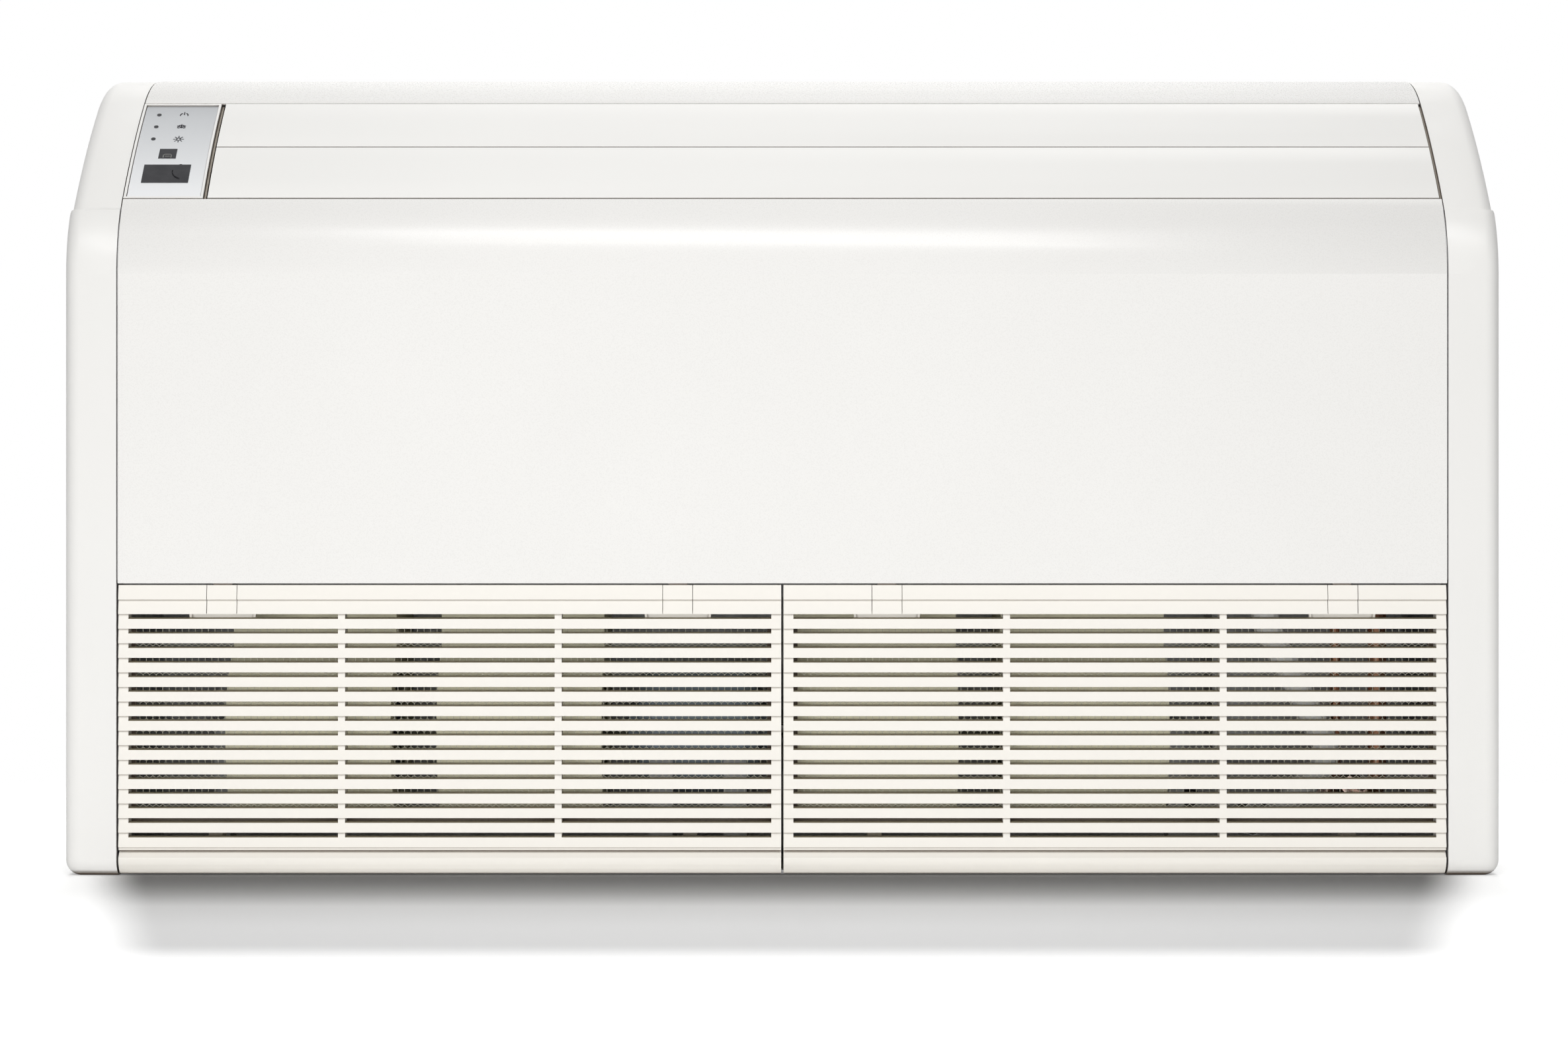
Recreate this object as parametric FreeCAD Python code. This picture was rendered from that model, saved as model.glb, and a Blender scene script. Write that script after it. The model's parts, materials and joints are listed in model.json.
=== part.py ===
import FreeCAD, Part
import math
import os

# Floor console air conditioner, indoor unit, in millimetres.
# X runs to the right, Y from the front to the wall behind, Z up.
# The origin is at the middle of the footprint, on the floor.

# Overall box
WIDTH = 1220.0
DEPTH = 225.0
HEIGHT = 700.0

# Side profile: upright front, bend, outlet arc, top roll and a short flat
bend_radius = 100.0
bend_lean = 41.41
outlet_radius = 697.0
outlet_turn = 11.35
top_flat_depth = 13.0
skirt_corner_radius = 14.0

# Walls and fits
casing_wall = 2.5
sheet = 1.2
seat_gap = 0.3
seam_gap = 0.9
running_gap = 0.05
pivot_gap = 0.4
overrun = 5.0

# Flat sides drawn on slim pins, on drums and in the bends of tubes
pin_sides = 12
drum_sides = 24
bend_steps = 4

# End caps
cap_width = 45.0
cap_edge_radius = 13.0
cap_crease_drop = 133.0
cap_step_side = 2.0
cap_step_front = 0.8
cap_groove = 0.6
cap_shoulder_radius = 9.7

# Side plates and the sheet panels
flange_width = 25.0
base_front_setback = 40.5
foot_radius = 15.0
foot_inset_x = 80.0
foot_inset_y = 35.0
screw_radius = 1.9
screw_head_radius = 4.0
screw_length = 6.0
screw_shares = (0.15, 0.5, 0.82)

# Wall fixing
wall_hole_radius = 4.5
wall_hole_inset = 160.0
wall_hole_drop = 140.0
wall_hole_height = 180.0
wall_pad_radius = 16.0

# Front panel
panel_bottom = 248.5
panel_lip_depth = 5.0

# Louvres
display_width = 69.0
louvre_end_gap = 3.0
louvre_gap = 1.2
louvre_wall = 2.5
louvre_pivot_depth = 8.0
louvre_pin_radius = 2.5
louvre_ear = 3.0
louvre_ear_radius = 5.0
cheek_wall = 2.0
cheek_drop = 3.0
duct_depth = 100.0
duct_wall = 1.5
louvre_swing = 75.0

# Louvre drive behind the display
crank_radius = 12.0
crank_wall = 3.0
crank_hub_radius = 3.5
crank_pin_radius = 1.5
crank_start = 9.0
link_width = 7.0
motor_axis_drop = 24.0
step_motor_radius = 14.0
step_motor_length = 19.0
step_motor_ear = 42.0
step_motor_flange = 1.5
step_motor_ear_width = 4.0
drive_shaft_length = 6.0

# Guide vanes
vane_count = 8
lead_vane = vane_count // 2
vane_wall = 1.6
vane_pivot_setback = 62.0
vane_front_setback = 46.0
vane_length = 50.0
vane_end_gap = 1.0
vane_pin_radius = 2.0
rod_arm = 26.0
rod_pin_radius = 1.5
rod_width = 8.0
rod_wall = 3.0
notch_height = 14.0
notch_depth = 15.0

# Display
bezel_rim = 2.2
bezel_ledge = 2.0
bezel_depth = 4.0
plate_wall = 1.6
lens_wall = 1.0
lens_pocket = 0.7
digit_window = (40.5, 24.0)
digit_window_place = (33.5, 33.6)
receiver_window = (15.2, 13.4)
receiver_window_place = (31.5, 61.0)
indicator_radius = 2.0
indicator_inset = 16.0
indicator_heights = (120.0, 101.0, 82.5)
board_wall = 1.6

# Intake grille doors
door_gap = 1.0
door_side_gap = 1.6
door_top_gap = 1.4
skirt_height = 24.62
course_count = 18
solid_courses = 2
course_step = 1.8
slot_height = 4.46
slot_rise = 1.6
door_skin = 5.0
door_depth = 16.0
end_bar = 8.4
mid_rib = 6.0
bay_count = 3
door_wall = 2.5
skirt_floor_gap = 1.0
skirt_ledge_depth = 12.0
skirt_nose_drop = 9.0
skirt_front_setback = 0.5

# Grille hinges
hinge_inset = 78.0
hinge_pad_width = 39.0
hinge_axis_setback = 16.0
hinge_pin_radius = 3.0
hinge_knuckle_radius = 6.0
hinge_arm_width = 12.0
hinge_arm_wall = 4.0
hinge_post_setback = 46.0
hinge_post_height = 40.0
hinge_foot_length = 22.0

# Latches
latch_width = 25.2
latch_inset = 87.8
latch_side_gap = 0.4
latch_carrier_width = 34.0
latch_carrier_wall = 2.0
latch_carrier_trim = 2.0
latch_tongue_width = 16.0
latch_catch = 2.3
pocket_width_top = 60.0
pocket_width_bottom = 55.0
pocket_drop = 9.0

# Filters
filter_side_inset = 4.0
filter_bottom = 40.0
filter_top_drop = 28.0
filter_wall = 5.0
filter_bar = 8.0
net_wall = 0.6
net_bar = 2.0
net_columns = 16
net_rows = 4

# Fan section
fan_axis_y = 8.0
fan_axis_z = 118.0
deck_rise = 1.5
deck_front_setback = 28.0
deck_lip = 14.0
wheel_radius = 72.0
wheel_gap = 7.0
wheel_blade_depth = 12.0
wheel_blade_wall = 1.2
wheel_blade_angle = 28.0
wheel_blades = 16
wheel_side_gap = 6.0
wheel_ring = 2.0
wheel_disc = 2.4
hub_radius = 14.0
hub_length = 24.0
scroll_left_gap = 86.0
scroll_right_gap = 232.0
scroll_gap = 39.5
scroll_growth = 6.0
scroll_wall = 2.0
scroll_inlet_radius = 58.0
scroll_tongue_angle = 115.0
shaft_radius = 6.0
shaft_overhang = 20.0
motor_bay = 165.0
motor_radius = 58.0
motor_length = 104.0
motor_nose_radius = 22.0
motor_nose_length = 10.0
motor_shoulder = 12.0
cradle_wall = 3.0
cradle_width = 20.0
cradle_spread = 64.0
cradle_foot = 100.0
cradle_drop = 19.0
bearing_radius = 17.0
bearing_width = 14.0
bearing_foot = 60.0
bearing_foot_wall = 4.0

# Cooling coil
coil_low_setback = 50.0
coil_lift = 33.8
coil_top_gap = 56.5
coil_thickness = 32.0
coil_top_setback = 33.0
coil_left_gap = 75.0
coil_right_gap = 105.0
tube_radius = 4.76
tube_rows = 5
tube_row_spacing = 18.0
tube_stub = 6.0
gas_pipe_radius = 7.94
gas_pipe_inset = 92.0
liquid_pipe_inset = 124.0
pipe_exit_height = 60.0
pipe_bend = 30.0
pipe_end_gap = 5.0
pipe_hole_gap = 5.0
pan_wall = 2.0
pan_front_setback = 12.0
pan_width = 74.0
pan_height = 22.0
pan_left_gap = 65.0
pan_right_gap = 85.0
hose_radius = 12.0
hose_wall = 2.0
hose_exit_height = 32.0
hose_from_end = 192.0
hose_exit_from_end = 180.0
hose_setback = 62.0
hose_drop = 36.0
hose_swing = 61.0
hose_reach = 20.0

# Electrics
box_side_gap = 30.0
box_width = 150.0
box_depth = 58.0
box_bottom = 96.0
box_height = 140.0
box_wall = 1.5
grommet_radius = 10.0
grommet_bore = 6.0
grommet_wall = 2.5
grommet_groove = 1.5
grommet_gap = 15.0
grommet_height = 50.0

# Values that follow from the driving sizes
front_y = -DEPTH / 2
back_y = DEPTH / 2
seam_x = WIDTH / 2 - cap_width
flange_inset = casing_wall + seat_gap
floor_top = casing_wall
wall_face = back_y - casing_wall
flange_face = back_y - flange_inset - sheet
panel_half = seam_x - seam_gap
wall_hole_spacing_x = WIDTH - 2 * wall_hole_inset
wall_hole_spacing_z = HEIGHT - wall_hole_height - wall_hole_drop
deck_height = panel_bottom + deck_rise
pan_floor = deck_height + sheet + pan_wall

outlet_lean = bend_lean + outlet_turn / 2
outlet_end_lean = bend_lean + outlet_turn
outlet_tilt = 90 - outlet_lean
outlet_chord = 2 * outlet_radius * math.sin(math.radians(outlet_turn / 2))
outlet_sagitta = outlet_radius * (1 - math.cos(math.radians(outlet_turn / 2)))

louvre_left = -seam_x + display_width + 2 * cheek_wall
louvre_right = seam_x - louvre_end_gap
louvre_width = (outlet_chord - 3 * louvre_gap) / 2
duct_left = louvre_left - cheek_wall + seat_gap
duct_right = seam_x - cheek_wall
display_left = -panel_half
display_right = -seam_x + display_width
crank_inner_x = display_right - louvre_end_gap
link_right = crank_inner_x - crank_wall - pivot_gap
link_left = link_right - crank_wall
crank_clear_x = link_left - crank_wall - 2 * pivot_gap

door_left = door_gap
door_right = seam_x - door_side_gap
door_top = panel_bottom - door_top_gap
course_bottom = skirt_height
course_pitch = (door_top - skirt_height) / course_count
hinge_y = front_y + hinge_axis_setback
hinge_z = course_bottom
pocket_setback = door_skin + latch_carrier_wall + 2 * seat_gap

scroll_left = -seam_x + scroll_left_gap
scroll_right = seam_x - scroll_right_gap
scroll_width = (scroll_right - scroll_left - 2 * scroll_gap - motor_bay) / 4
scroll_pitch = scroll_width + scroll_gap
motor_x = (scroll_left + scroll_right) / 2
shaft_left = scroll_left - shaft_overhang
shaft_right = scroll_right + shaft_overhang
coil_left = -seam_x + coil_left_gap
coil_right = seam_x - coil_right_gap
pan_left = -seam_x + pan_left_gap
pan_right = seam_x - pan_right_gap
box_left = seam_x - box_side_gap - box_width
grommet_x = box_left - grommet_gap
gas_pipe_x = WIDTH / 2 - gas_pipe_inset
liquid_pipe_x = WIDTH / 2 - liquid_pipe_inset
hose_x = WIDTH / 2 - hose_from_end
hose_y = front_y + hose_setback
hose_exit_x = WIDTH / 2 - hose_exit_from_end

X_AXIS = FreeCAD.Vector(1, 0, 0)
Y_AXIS = FreeCAD.Vector(0, 1, 0)
Z_AXIS = FreeCAD.Vector(0, 0, 1)


def box(x0, x1, y0, y1, z0, z1):
    """A block between two corners."""
    return Part.makeBox(x1 - x0, y1 - y0, z1 - z0, FreeCAD.Vector(x0, y0, z0))


def rod(radius, length, start, axis):
    """A round bar from a start point along an axis."""
    return Part.makeCylinder(radius, length, start, axis)


def ring_corners(sides, radius):
    """Evenly spaced corners on a circle about Z."""
    turns = [math.radians(360 * index / sides) for index in range(sides)]
    return [FreeCAD.Vector(radius * math.cos(turn), radius * math.sin(turn), 0) for turn in turns]


def many_sided(sides, radius, length, start, axis):
    """A bar with flat sides, its corners on a circle round the axis."""
    corners = ring_corners(sides, radius)
    bar = flat_face(corners).extrude(Z_AXIS * length)
    bar.Placement = FreeCAD.Placement(start, FreeCAD.Rotation(Z_AXIS, axis))
    return bar


def flat_face(corners):
    """A flat face with straight edges."""
    return Part.Face(Part.makePolygon(corners + corners[:1]))


def solid_from_rings(rings):
    """A solid with flat faces between rings of as many corners each."""
    faces = [flat_face(rings[0]), flat_face(rings[-1])]
    for low, high in zip(rings, rings[1:]):
        for index in range(len(low)):
            faces.append(flat_face([low[index - 1], low[index], high[index], high[index - 1]]))
    shell = Part.makeShell(faces)
    shell.sewShape()
    return Part.makeSolid(shell)


def peg(radius, length, start, axis):
    """A slim pin with flat sides inside its circle."""
    return many_sided(pin_sides, radius, length, start, axis)


def hole(radius, length, start, axis):
    """The cutter for a slim pin's hole, with flat sides outside its circle."""
    return many_sided(pin_sides, radius / math.cos(math.pi / pin_sides), length, start, axis)


def drum(radius, length, start, axis):
    """A wide round body with flat sides."""
    return many_sided(drum_sides, radius, length, start, axis)


def rod_x(radius, x0, x1, y, z, make=rod):
    """A bar of one of the kinds above, along X."""
    return make(radius, x1 - x0, FreeCAD.Vector(x0, y, z), X_AXIS)


def rod_y(radius, y0, y1, x, z, make=rod):
    """A bar of one of the kinds above, along Y."""
    return make(radius, y1 - y0, FreeCAD.Vector(x, y0, z), Y_AXIS)


def fuse(shapes):
    """One solid from pieces that touch, without seams."""
    first = shapes[0]
    return first.multiFuse(shapes[1:]).removeSplitter()


def mirror(shape):
    """The same shape on the other side of the middle plane."""
    return shape.mirror(FreeCAD.Vector(0, 0, 0), X_AXIS)


def side_point(y, z):
    """A point of a side view."""
    return FreeCAD.Vector(0, y, z)


def outline(points):
    """Straight edges through the points of a side view, in order."""
    pairs = zip(points, points[1:])
    return [Part.LineSegment(start, end).toShape() for start, end in pairs]


def curve(start, middle, end):
    """An arc edge through three points."""
    return Part.Arc(start, middle, end).toShape()


def prism(edges, x0, x1):
    """A closed side view drawn out along X."""
    face = Part.Face(Part.Wire(edges))
    solid = face.extrude(FreeCAD.Vector(x1 - x0, 0, 0))
    solid.translate(FreeCAD.Vector(x0, 0, 0))
    return solid


def polygon_prism(points, x0, x1):
    """A straight-sided side view drawn out along X."""
    return prism(outline(points + points[:1]), x0, x1)


def turned(lean, radius):
    """The step from an arc's centre to its point where the outline leans back by an angle."""
    angle = math.radians(lean)
    return side_point(-radius * math.cos(angle), radius * math.sin(angle))


# Centres of the three arcs of the side profile
outlet_rise = outlet_chord * math.cos(math.radians(outlet_lean))
outlet_run = outlet_chord * math.sin(math.radians(outlet_lean))
bend_run = bend_radius * (1 - math.cos(math.radians(bend_lean)))
bend_rise = bend_radius * math.sin(math.radians(bend_lean))
roll_run = DEPTH - top_flat_depth - bend_run - outlet_run
roll_radius = roll_run / math.cos(math.radians(outlet_end_lean))
bend_start = HEIGHT - bend_rise - outlet_rise - roll_radius * (1 - math.sin(math.radians(outlet_end_lean)))
bend_centre = side_point(front_y + bend_radius, bend_start)
outlet_low = bend_centre + turned(bend_lean, bend_radius)
outlet_centre = outlet_low - turned(bend_lean, outlet_radius)
outlet_high = outlet_centre + turned(outlet_end_lean, outlet_radius)
roll_centre = outlet_high - turned(outlet_end_lean, roll_radius)

# The coil between the drain pan and the outlet, and the starts of its pipes
coil_foot = side_point(front_y + coil_low_setback, deck_height + sheet + coil_lift)
coil_top = outlet_low.z - coil_top_gap
coil_slope = side_point(back_y - coil_top_setback, coil_top) - coil_foot
coil_length = coil_slope.Length
coil_lean = math.degrees(math.atan2(coil_slope.z, coil_slope.y))
tube_pitch = coil_length / tube_rows


def coil_end_point(up):
    """A point in the middle of the coil's right end, by how far it lies up the slope."""
    angle = math.radians(coil_lean)
    return coil_foot + FreeCAD.Vector(coil_right + sheet, up * math.cos(angle), up * math.sin(angle))


gas_start = coil_end_point(tube_pitch)
liquid_start = coil_end_point(2 * tube_pitch)


def bend_arc(inset):
    """The bend above the upright front, set in from the outside."""
    radius = bend_radius - inset
    return curve(*(bend_centre + turned(lean, radius) for lean in (0, bend_lean / 2, bend_lean)))


def outlet_arc(inset):
    """The shallow arc across the air outlet."""
    radius = outlet_radius - inset
    leans = (bend_lean, outlet_lean, outlet_end_lean)
    return curve(*(outlet_centre + turned(lean, radius) for lean in leans))


def roll_arc(inset):
    """The roll from the outlet to the flat top."""
    radius = roll_radius - inset
    leans = (outlet_end_lean, (outlet_end_lean + 90) / 2, 90)
    return curve(*(roll_centre + turned(lean, radius) for lean in leans))


def profile(inset):
    """The closed side view of the casing, set in from the outside all round."""
    corner = skirt_corner_radius - inset
    centre = side_point(front_y + skirt_corner_radius, skirt_corner_radius)
    low_arc = curve(*(centre + turned(lean, corner) for lean in (-90, -45, 0)))
    bend = bend_arc(inset)
    roll = roll_arc(inset)
    back_top = side_point(back_y - inset, HEIGHT - inset)
    back_low = side_point(back_y - inset, inset)
    rise = outline([low_arc.lastVertex().Point, bend.firstVertex().Point])
    rest = outline([roll.lastVertex().Point, back_top, back_low, low_arc.firstVertex().Point])
    return [low_arc] + rise + [bend, outlet_arc(inset), roll] + rest


def in_outlet(shape):
    """A shape drawn flat, with Y up the outlet and Z outward, set into the sloping outlet."""
    placed = shape.copy()
    placed.rotate(FreeCAD.Vector(0, 0, 0), X_AXIS, outlet_tilt)
    placed.translate(outlet_low)
    return placed


def outlet_point(up, depth):
    """A point below the outlet's surface, in the outlet's own plane."""
    half = up - outlet_chord / 2
    rise = math.sqrt((outlet_radius - depth) ** 2 - half ** 2)
    return side_point(up, outlet_sagitta - outlet_radius + rise)


def outlet_strip(up0, up1, depth0, depth1):
    """The side view of a plate that follows the outlet's surface between two depths."""
    middle = (up0 + up1) / 2
    outer = [outlet_point(up, depth0) for up in (up0, middle, up1)]
    inner = [outlet_point(up, depth1) for up in (up1, middle, up0)]
    sides = [Part.LineSegment(outer[2], inner[0]).toShape(), Part.LineSegment(inner[2], outer[0]).toShape()]
    return [curve(*outer), sides[0], curve(*inner), sides[1]]


def cap_block(inset, step_side, step_front):
    """A whole end cap's block, set in from the outside, with its outer rim rounded or bevelled."""
    outer_x = WIDTH / 2 - inset - step_side
    block = prism(profile(inset + step_front), seam_x - overrun, outer_x)
    rim_x, rim_y = outer_x - running_gap, back_y - inset - step_front - running_gap
    rim = [edge for edge in block.Edges if edge.BoundBox.XMin > rim_x and edge.BoundBox.YMin < rim_y]
    if inset:
        return block.makeChamfer(cap_edge_radius - inset, rim)
    return block.makeFillet(cap_edge_radius, rim)


def cap_halves(inset):
    """An end cap's lower block, and its upper block, which is a little smaller above the crease."""
    crease = HEIGHT - cap_crease_drop - inset
    low = box(seam_x - overrun, WIDTH, -DEPTH, DEPTH, -overrun, crease)
    high = box(seam_x - overrun, WIDTH, -DEPTH, DEPTH, crease, HEIGHT + overrun)
    lower = cap_block(inset, 0, 0).common(low)
    return lower, cap_block(inset, cap_step_side, cap_step_front).common(high)


def shoulder_cutter():
    """What is rounded off the side of the cap's lower block under the crease."""
    crease = HEIGHT - cap_crease_drop
    depth = cap_step_side + cap_groove
    height = math.sqrt(2 * cap_shoulder_radius * depth - depth ** 2)
    corner = box(WIDTH / 2 - depth, WIDTH, -DEPTH, DEPTH, crease - height, crease + overrun)
    centre = (WIDTH / 2 - cap_shoulder_radius, crease - height)
    return corner.cut(rod_y(cap_shoulder_radius, -DEPTH, DEPTH, *centre))


def end_cap():
    """The right end cap, a moulded shell open towards the middle."""
    lower, upper = cap_halves(0)
    outer = fuse([lower.cut(shoulder_cutter()), upper])
    inner_low, inner_high = cap_halves(casing_wall)
    shell = outer.cut(inner_low).cut(inner_high)
    return shell.common(box(seam_x, WIDTH, -DEPTH, DEPTH, -overrun, HEIGHT + overrun))


def screw_places():
    """Where the back panel is screwed to the side plates."""
    x = seam_x - flange_width / 2
    return [(side * x, share * HEIGHT) for side in (-1, 1) for share in screw_shares]


def side_plate():
    """The right side plate, a steel pan whose flanges carry the panels."""
    inner_x = seam_x - flange_width
    rim = prism(profile(flange_inset), inner_x, seam_x)
    rim = rim.cut(prism(profile(flange_inset + sheet), inner_x - overrun, seam_x))
    intake_top = panel_bottom + casing_wall + seat_gap
    intake = box(inner_x - overrun, seam_x, -DEPTH, front_y + base_front_setback, -overrun, intake_top)
    outlet = box(inner_x - overrun, seam_x, -overrun, outlet_chord + overrun, -duct_depth, duct_depth)
    wall = prism(profile(flange_inset + cap_step_front), seam_x, seam_x + sheet)
    pan = fuse([wall, rim.cut(intake).cut(in_outlet(outlet))])
    for x, z in screw_places():
        pan = pan.cut(rod_y(screw_radius + running_gap, wall_face - screw_length, back_y, x, z, hole))
    return pan


def front_panel():
    """The plain front panel: upright, bent back at the top, with a short lip along its lower edge."""
    outer, inner = bend_arc(0), bend_arc(casing_wall)
    lip_top = panel_bottom + casing_wall
    low = [
        side_point(front_y + casing_wall, lip_top),
        side_point(front_y + panel_lip_depth, lip_top),
        side_point(front_y + panel_lip_depth, panel_bottom),
        side_point(front_y, panel_bottom),
    ]
    top = outline([outer.lastVertex().Point, inner.lastVertex().Point])
    sides = outline([inner.firstVertex().Point] + low + [outer.firstVertex().Point])
    return prism([outer] + top + [inner] + sides, -panel_half, panel_half)


def top_panel():
    """The top panel, from the upper edge of the outlet back to the wall."""
    outer, inner = roll_arc(0), roll_arc(casing_wall)
    back = [
        outer.lastVertex().Point,
        side_point(back_y, HEIGHT),
        side_point(back_y, HEIGHT - casing_wall),
        inner.lastVertex().Point,
    ]
    front = outline([inner.firstVertex().Point, outer.firstVertex().Point])
    return prism([outer] + outline(back) + [inner] + front, -panel_half, panel_half)


def base_panel():
    """The base sheet, standing on pressed feet."""
    front = front_y + base_front_setback
    parts = [box(-panel_half, panel_half, front, back_y - floor_top + sheet, floor_top - sheet, floor_top)]
    for x in (-panel_half + foot_inset_x, 0, panel_half - foot_inset_x):
        for y in (front + foot_inset_y, back_y - foot_inset_y):
            parts.append(peg(foot_radius, floor_top - sheet, FreeCAD.Vector(x, y, 0), Z_AXIS))
    return fuse(parts)


def wall_hole_places():
    """Where the back panel is bolted to a wall."""
    xs = (-wall_hole_spacing_x / 2, wall_hole_spacing_x / 2)
    zs = (wall_hole_height, wall_hole_height + wall_hole_spacing_z)
    return [(x, z) for x in xs for z in zs]


def back_panel():
    """The back sheet with wall holes on pressed pads and holes for the pipes, drain and cable."""
    outer = wall_face + sheet
    top = HEIGHT - flange_inset
    panel = box(-panel_half, panel_half, wall_face, outer, floor_top, top)
    pads = [rod_y(wall_pad_radius, wall_face, back_y, x, z, drum) for x, z in wall_hole_places()]
    panel = fuse([panel] + pads)
    holes = [(wall_hole_radius, x, z, rod) for x, z in wall_hole_places()]
    holes += [(screw_radius + running_gap, x, z, hole) for x, z in screw_places()]
    holes.append((gas_pipe_radius + pipe_hole_gap, gas_pipe_x, pipe_exit_height, hole))
    holes.append((tube_radius + pipe_hole_gap, liquid_pipe_x, pipe_exit_height, hole))
    holes.append((hose_radius + pipe_hole_gap, hose_exit_x, hose_exit_height, hole))
    holes.append((grommet_radius - grommet_groove, grommet_x, grommet_height, drum))
    for radius, x, z, kind in holes:
        panel = panel.cut(rod_y(radius, wall_face - overrun, back_y + overrun, x, z, kind))
    return panel


def casing_screws():
    """The screws that hold the back panel to the side plates."""
    screws = []
    for x, z in screw_places():
        head = rod_y(screw_head_radius, wall_face + sheet, back_y, x, z, peg)
        shank = rod_y(screw_radius, back_y - screw_length, wall_face + sheet, x, z, peg)
        screws.append(fuse([head, shank]))
    return Part.makeCompound(screws)


def outlet_cheeks():
    """The two end walls of the outlet, which carry the louvre pins."""
    cheeks = []
    for x in (louvre_left - 2 * cheek_wall + seat_gap, seam_x - cheek_wall):
        rim = [outlet_point(up, cheek_drop) for up in (seam_gap, outlet_chord / 2, outlet_chord - seam_gap)]
        foot = [side_point(outlet_chord - seam_gap, -duct_depth), side_point(seam_gap, -duct_depth)]
        cheek = prism([curve(*rim)] + outline([rim[2]] + foot + [rim[0]]), x, x + cheek_wall)
        for index in range(2):
            pivot = louvre_pivot(index)
            ends = (x - overrun, x + cheek_wall + overrun)
            cheek = cheek.cut(rod_x(louvre_pin_radius + running_gap, *ends, pivot.y, pivot.z, hole))
        cheeks.append(in_outlet(cheek))
    return Part.makeCompound(cheeks)


def outlet_wall(up, side):
    """The floor or roof of the outlet duct, with a hole for each guide vane's pin."""
    low, high = sorted((up, up + side * duct_wall))
    front = -louvre_pivot_depth
    wall = box(duct_left, duct_right, low, high, -duct_depth, front)
    for x in vane_places():
        start = FreeCAD.Vector(x, low - overrun, -vane_pivot_setback)
        wall = wall.cut(hole(vane_pin_radius + running_gap, high - low + 2 * overrun, start, Y_AXIS))
    return in_outlet(wall)


def louvre_pivot(index):
    """A louvre's pin axis in the outlet's own plane; 0 is the lower louvre."""
    up = louvre_gap + index * (louvre_width + louvre_gap) + louvre_width / 2
    return outlet_point(up, louvre_pivot_depth)


def crank_step():
    """From a crank's axis to its pin, at rest."""
    angle = math.radians(crank_start - louvre_swing / 2)
    return side_point(-crank_radius * math.sin(angle), -crank_radius * math.cos(angle))


def crank_arm(axis, x0, x1):
    """A crank: a hub, an arm and the end round its pin."""
    tip = axis + crank_step()
    along = tip - axis
    across = side_point(-along.z, along.y) * (crank_hub_radius / crank_radius)
    web = polygon_prism([axis + across, tip + across, tip - across, axis - across], x0, x1)
    hub = rod_x(crank_hub_radius, x0, x1, axis.y, axis.z, drum)
    end = rod_x(crank_hub_radius, x0, x1, tip.y, tip.z, drum)
    return [web, hub, end]


def crank_pin(axis, x0, x1):
    """The pin at a crank's end."""
    tip = axis + crank_step()
    return rod_x(crank_pin_radius, x0, x1, tip.y, tip.z)


def louvre(index):
    """One louvre blade with its ears, pins and the crank behind the display."""
    pivot = louvre_pivot(index)
    up0 = pivot.y - louvre_width / 2
    up1 = pivot.y + louvre_width / 2
    root = outlet_point(pivot.y, louvre_wall / 2).z
    parts = [prism(outlet_strip(up0, up1, 0, louvre_wall), louvre_left, louvre_right)]
    for x in (louvre_left, louvre_right - louvre_ear):
        web = box(x, x + louvre_ear, pivot.y - louvre_ear_radius, pivot.y + louvre_ear_radius,
                  pivot.z, root)
        parts += [web, rod_x(louvre_ear_radius, x, x + louvre_ear, pivot.y, pivot.z, peg)]
    spine = box(louvre_left, louvre_right, pivot.y - louvre_wall / 2, pivot.y + louvre_wall / 2,
                pivot.z - louvre_wall / 2, root)
    parts.append(spine)
    parts.append(rod_x(louvre_pin_radius, louvre_right, seam_x - seat_gap, pivot.y, pivot.z))
    parts.append(rod_x(louvre_pin_radius, crank_inner_x - crank_wall, louvre_left, pivot.y, pivot.z))
    parts += crank_arm(pivot, crank_inner_x - crank_wall, crank_inner_x)
    parts.append(crank_pin(pivot, link_left - pivot_gap, crank_inner_x))
    return in_outlet(fuse(parts))


def drive_axis():
    """The step motor's axis in the outlet's own plane."""
    middle = (louvre_pivot(0) + louvre_pivot(1)) * (1 / 2)
    return middle + side_point(0, -motor_axis_drop)


def louvre_crank():
    """The crank on the step motor's shaft, which pushes the link from its other side."""
    axis = drive_axis()
    x0 = link_left - pivot_gap - crank_wall
    x1 = link_left - pivot_gap
    parts = crank_arm(axis, x0, x1)
    parts.append(crank_pin(axis, x1, link_right + pivot_gap))
    parts.append(rod_x(louvre_pin_radius, x0 - drive_shaft_length, x0, axis.y, axis.z))
    return in_outlet(fuse(parts))


def louvre_link():
    """The flat link that joins both louvres' cranks to the drive crank."""
    low, high = (louvre_pivot(index) + crank_step() for index in range(2))
    drive = drive_axis() + crank_step()
    middle = (low + high) * (1 / 2)
    half = link_width / 2
    along = (high - low).normalize() * half
    across = side_point(-along.z, along.y)
    ends = (link_left, link_right)
    bar = polygon_prism([low - across, high - across, high + across, low + across], *ends)
    stem = polygon_prism([middle - along, middle + along, drive + along, drive - along], *ends)
    eyes = [rod_x(half, *ends, spot.y, spot.z, drum) for spot in (low, high, drive)]
    link = fuse([bar, stem] + eyes)
    ends = (link_left - overrun, link_right + overrun)
    for spot, gap in ((low, pivot_gap), (high, pivot_gap), (drive, running_gap)):
        link = link.cut(rod_x(crank_pin_radius + gap, *ends, spot.y, spot.z))
    return in_outlet(link)


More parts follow.
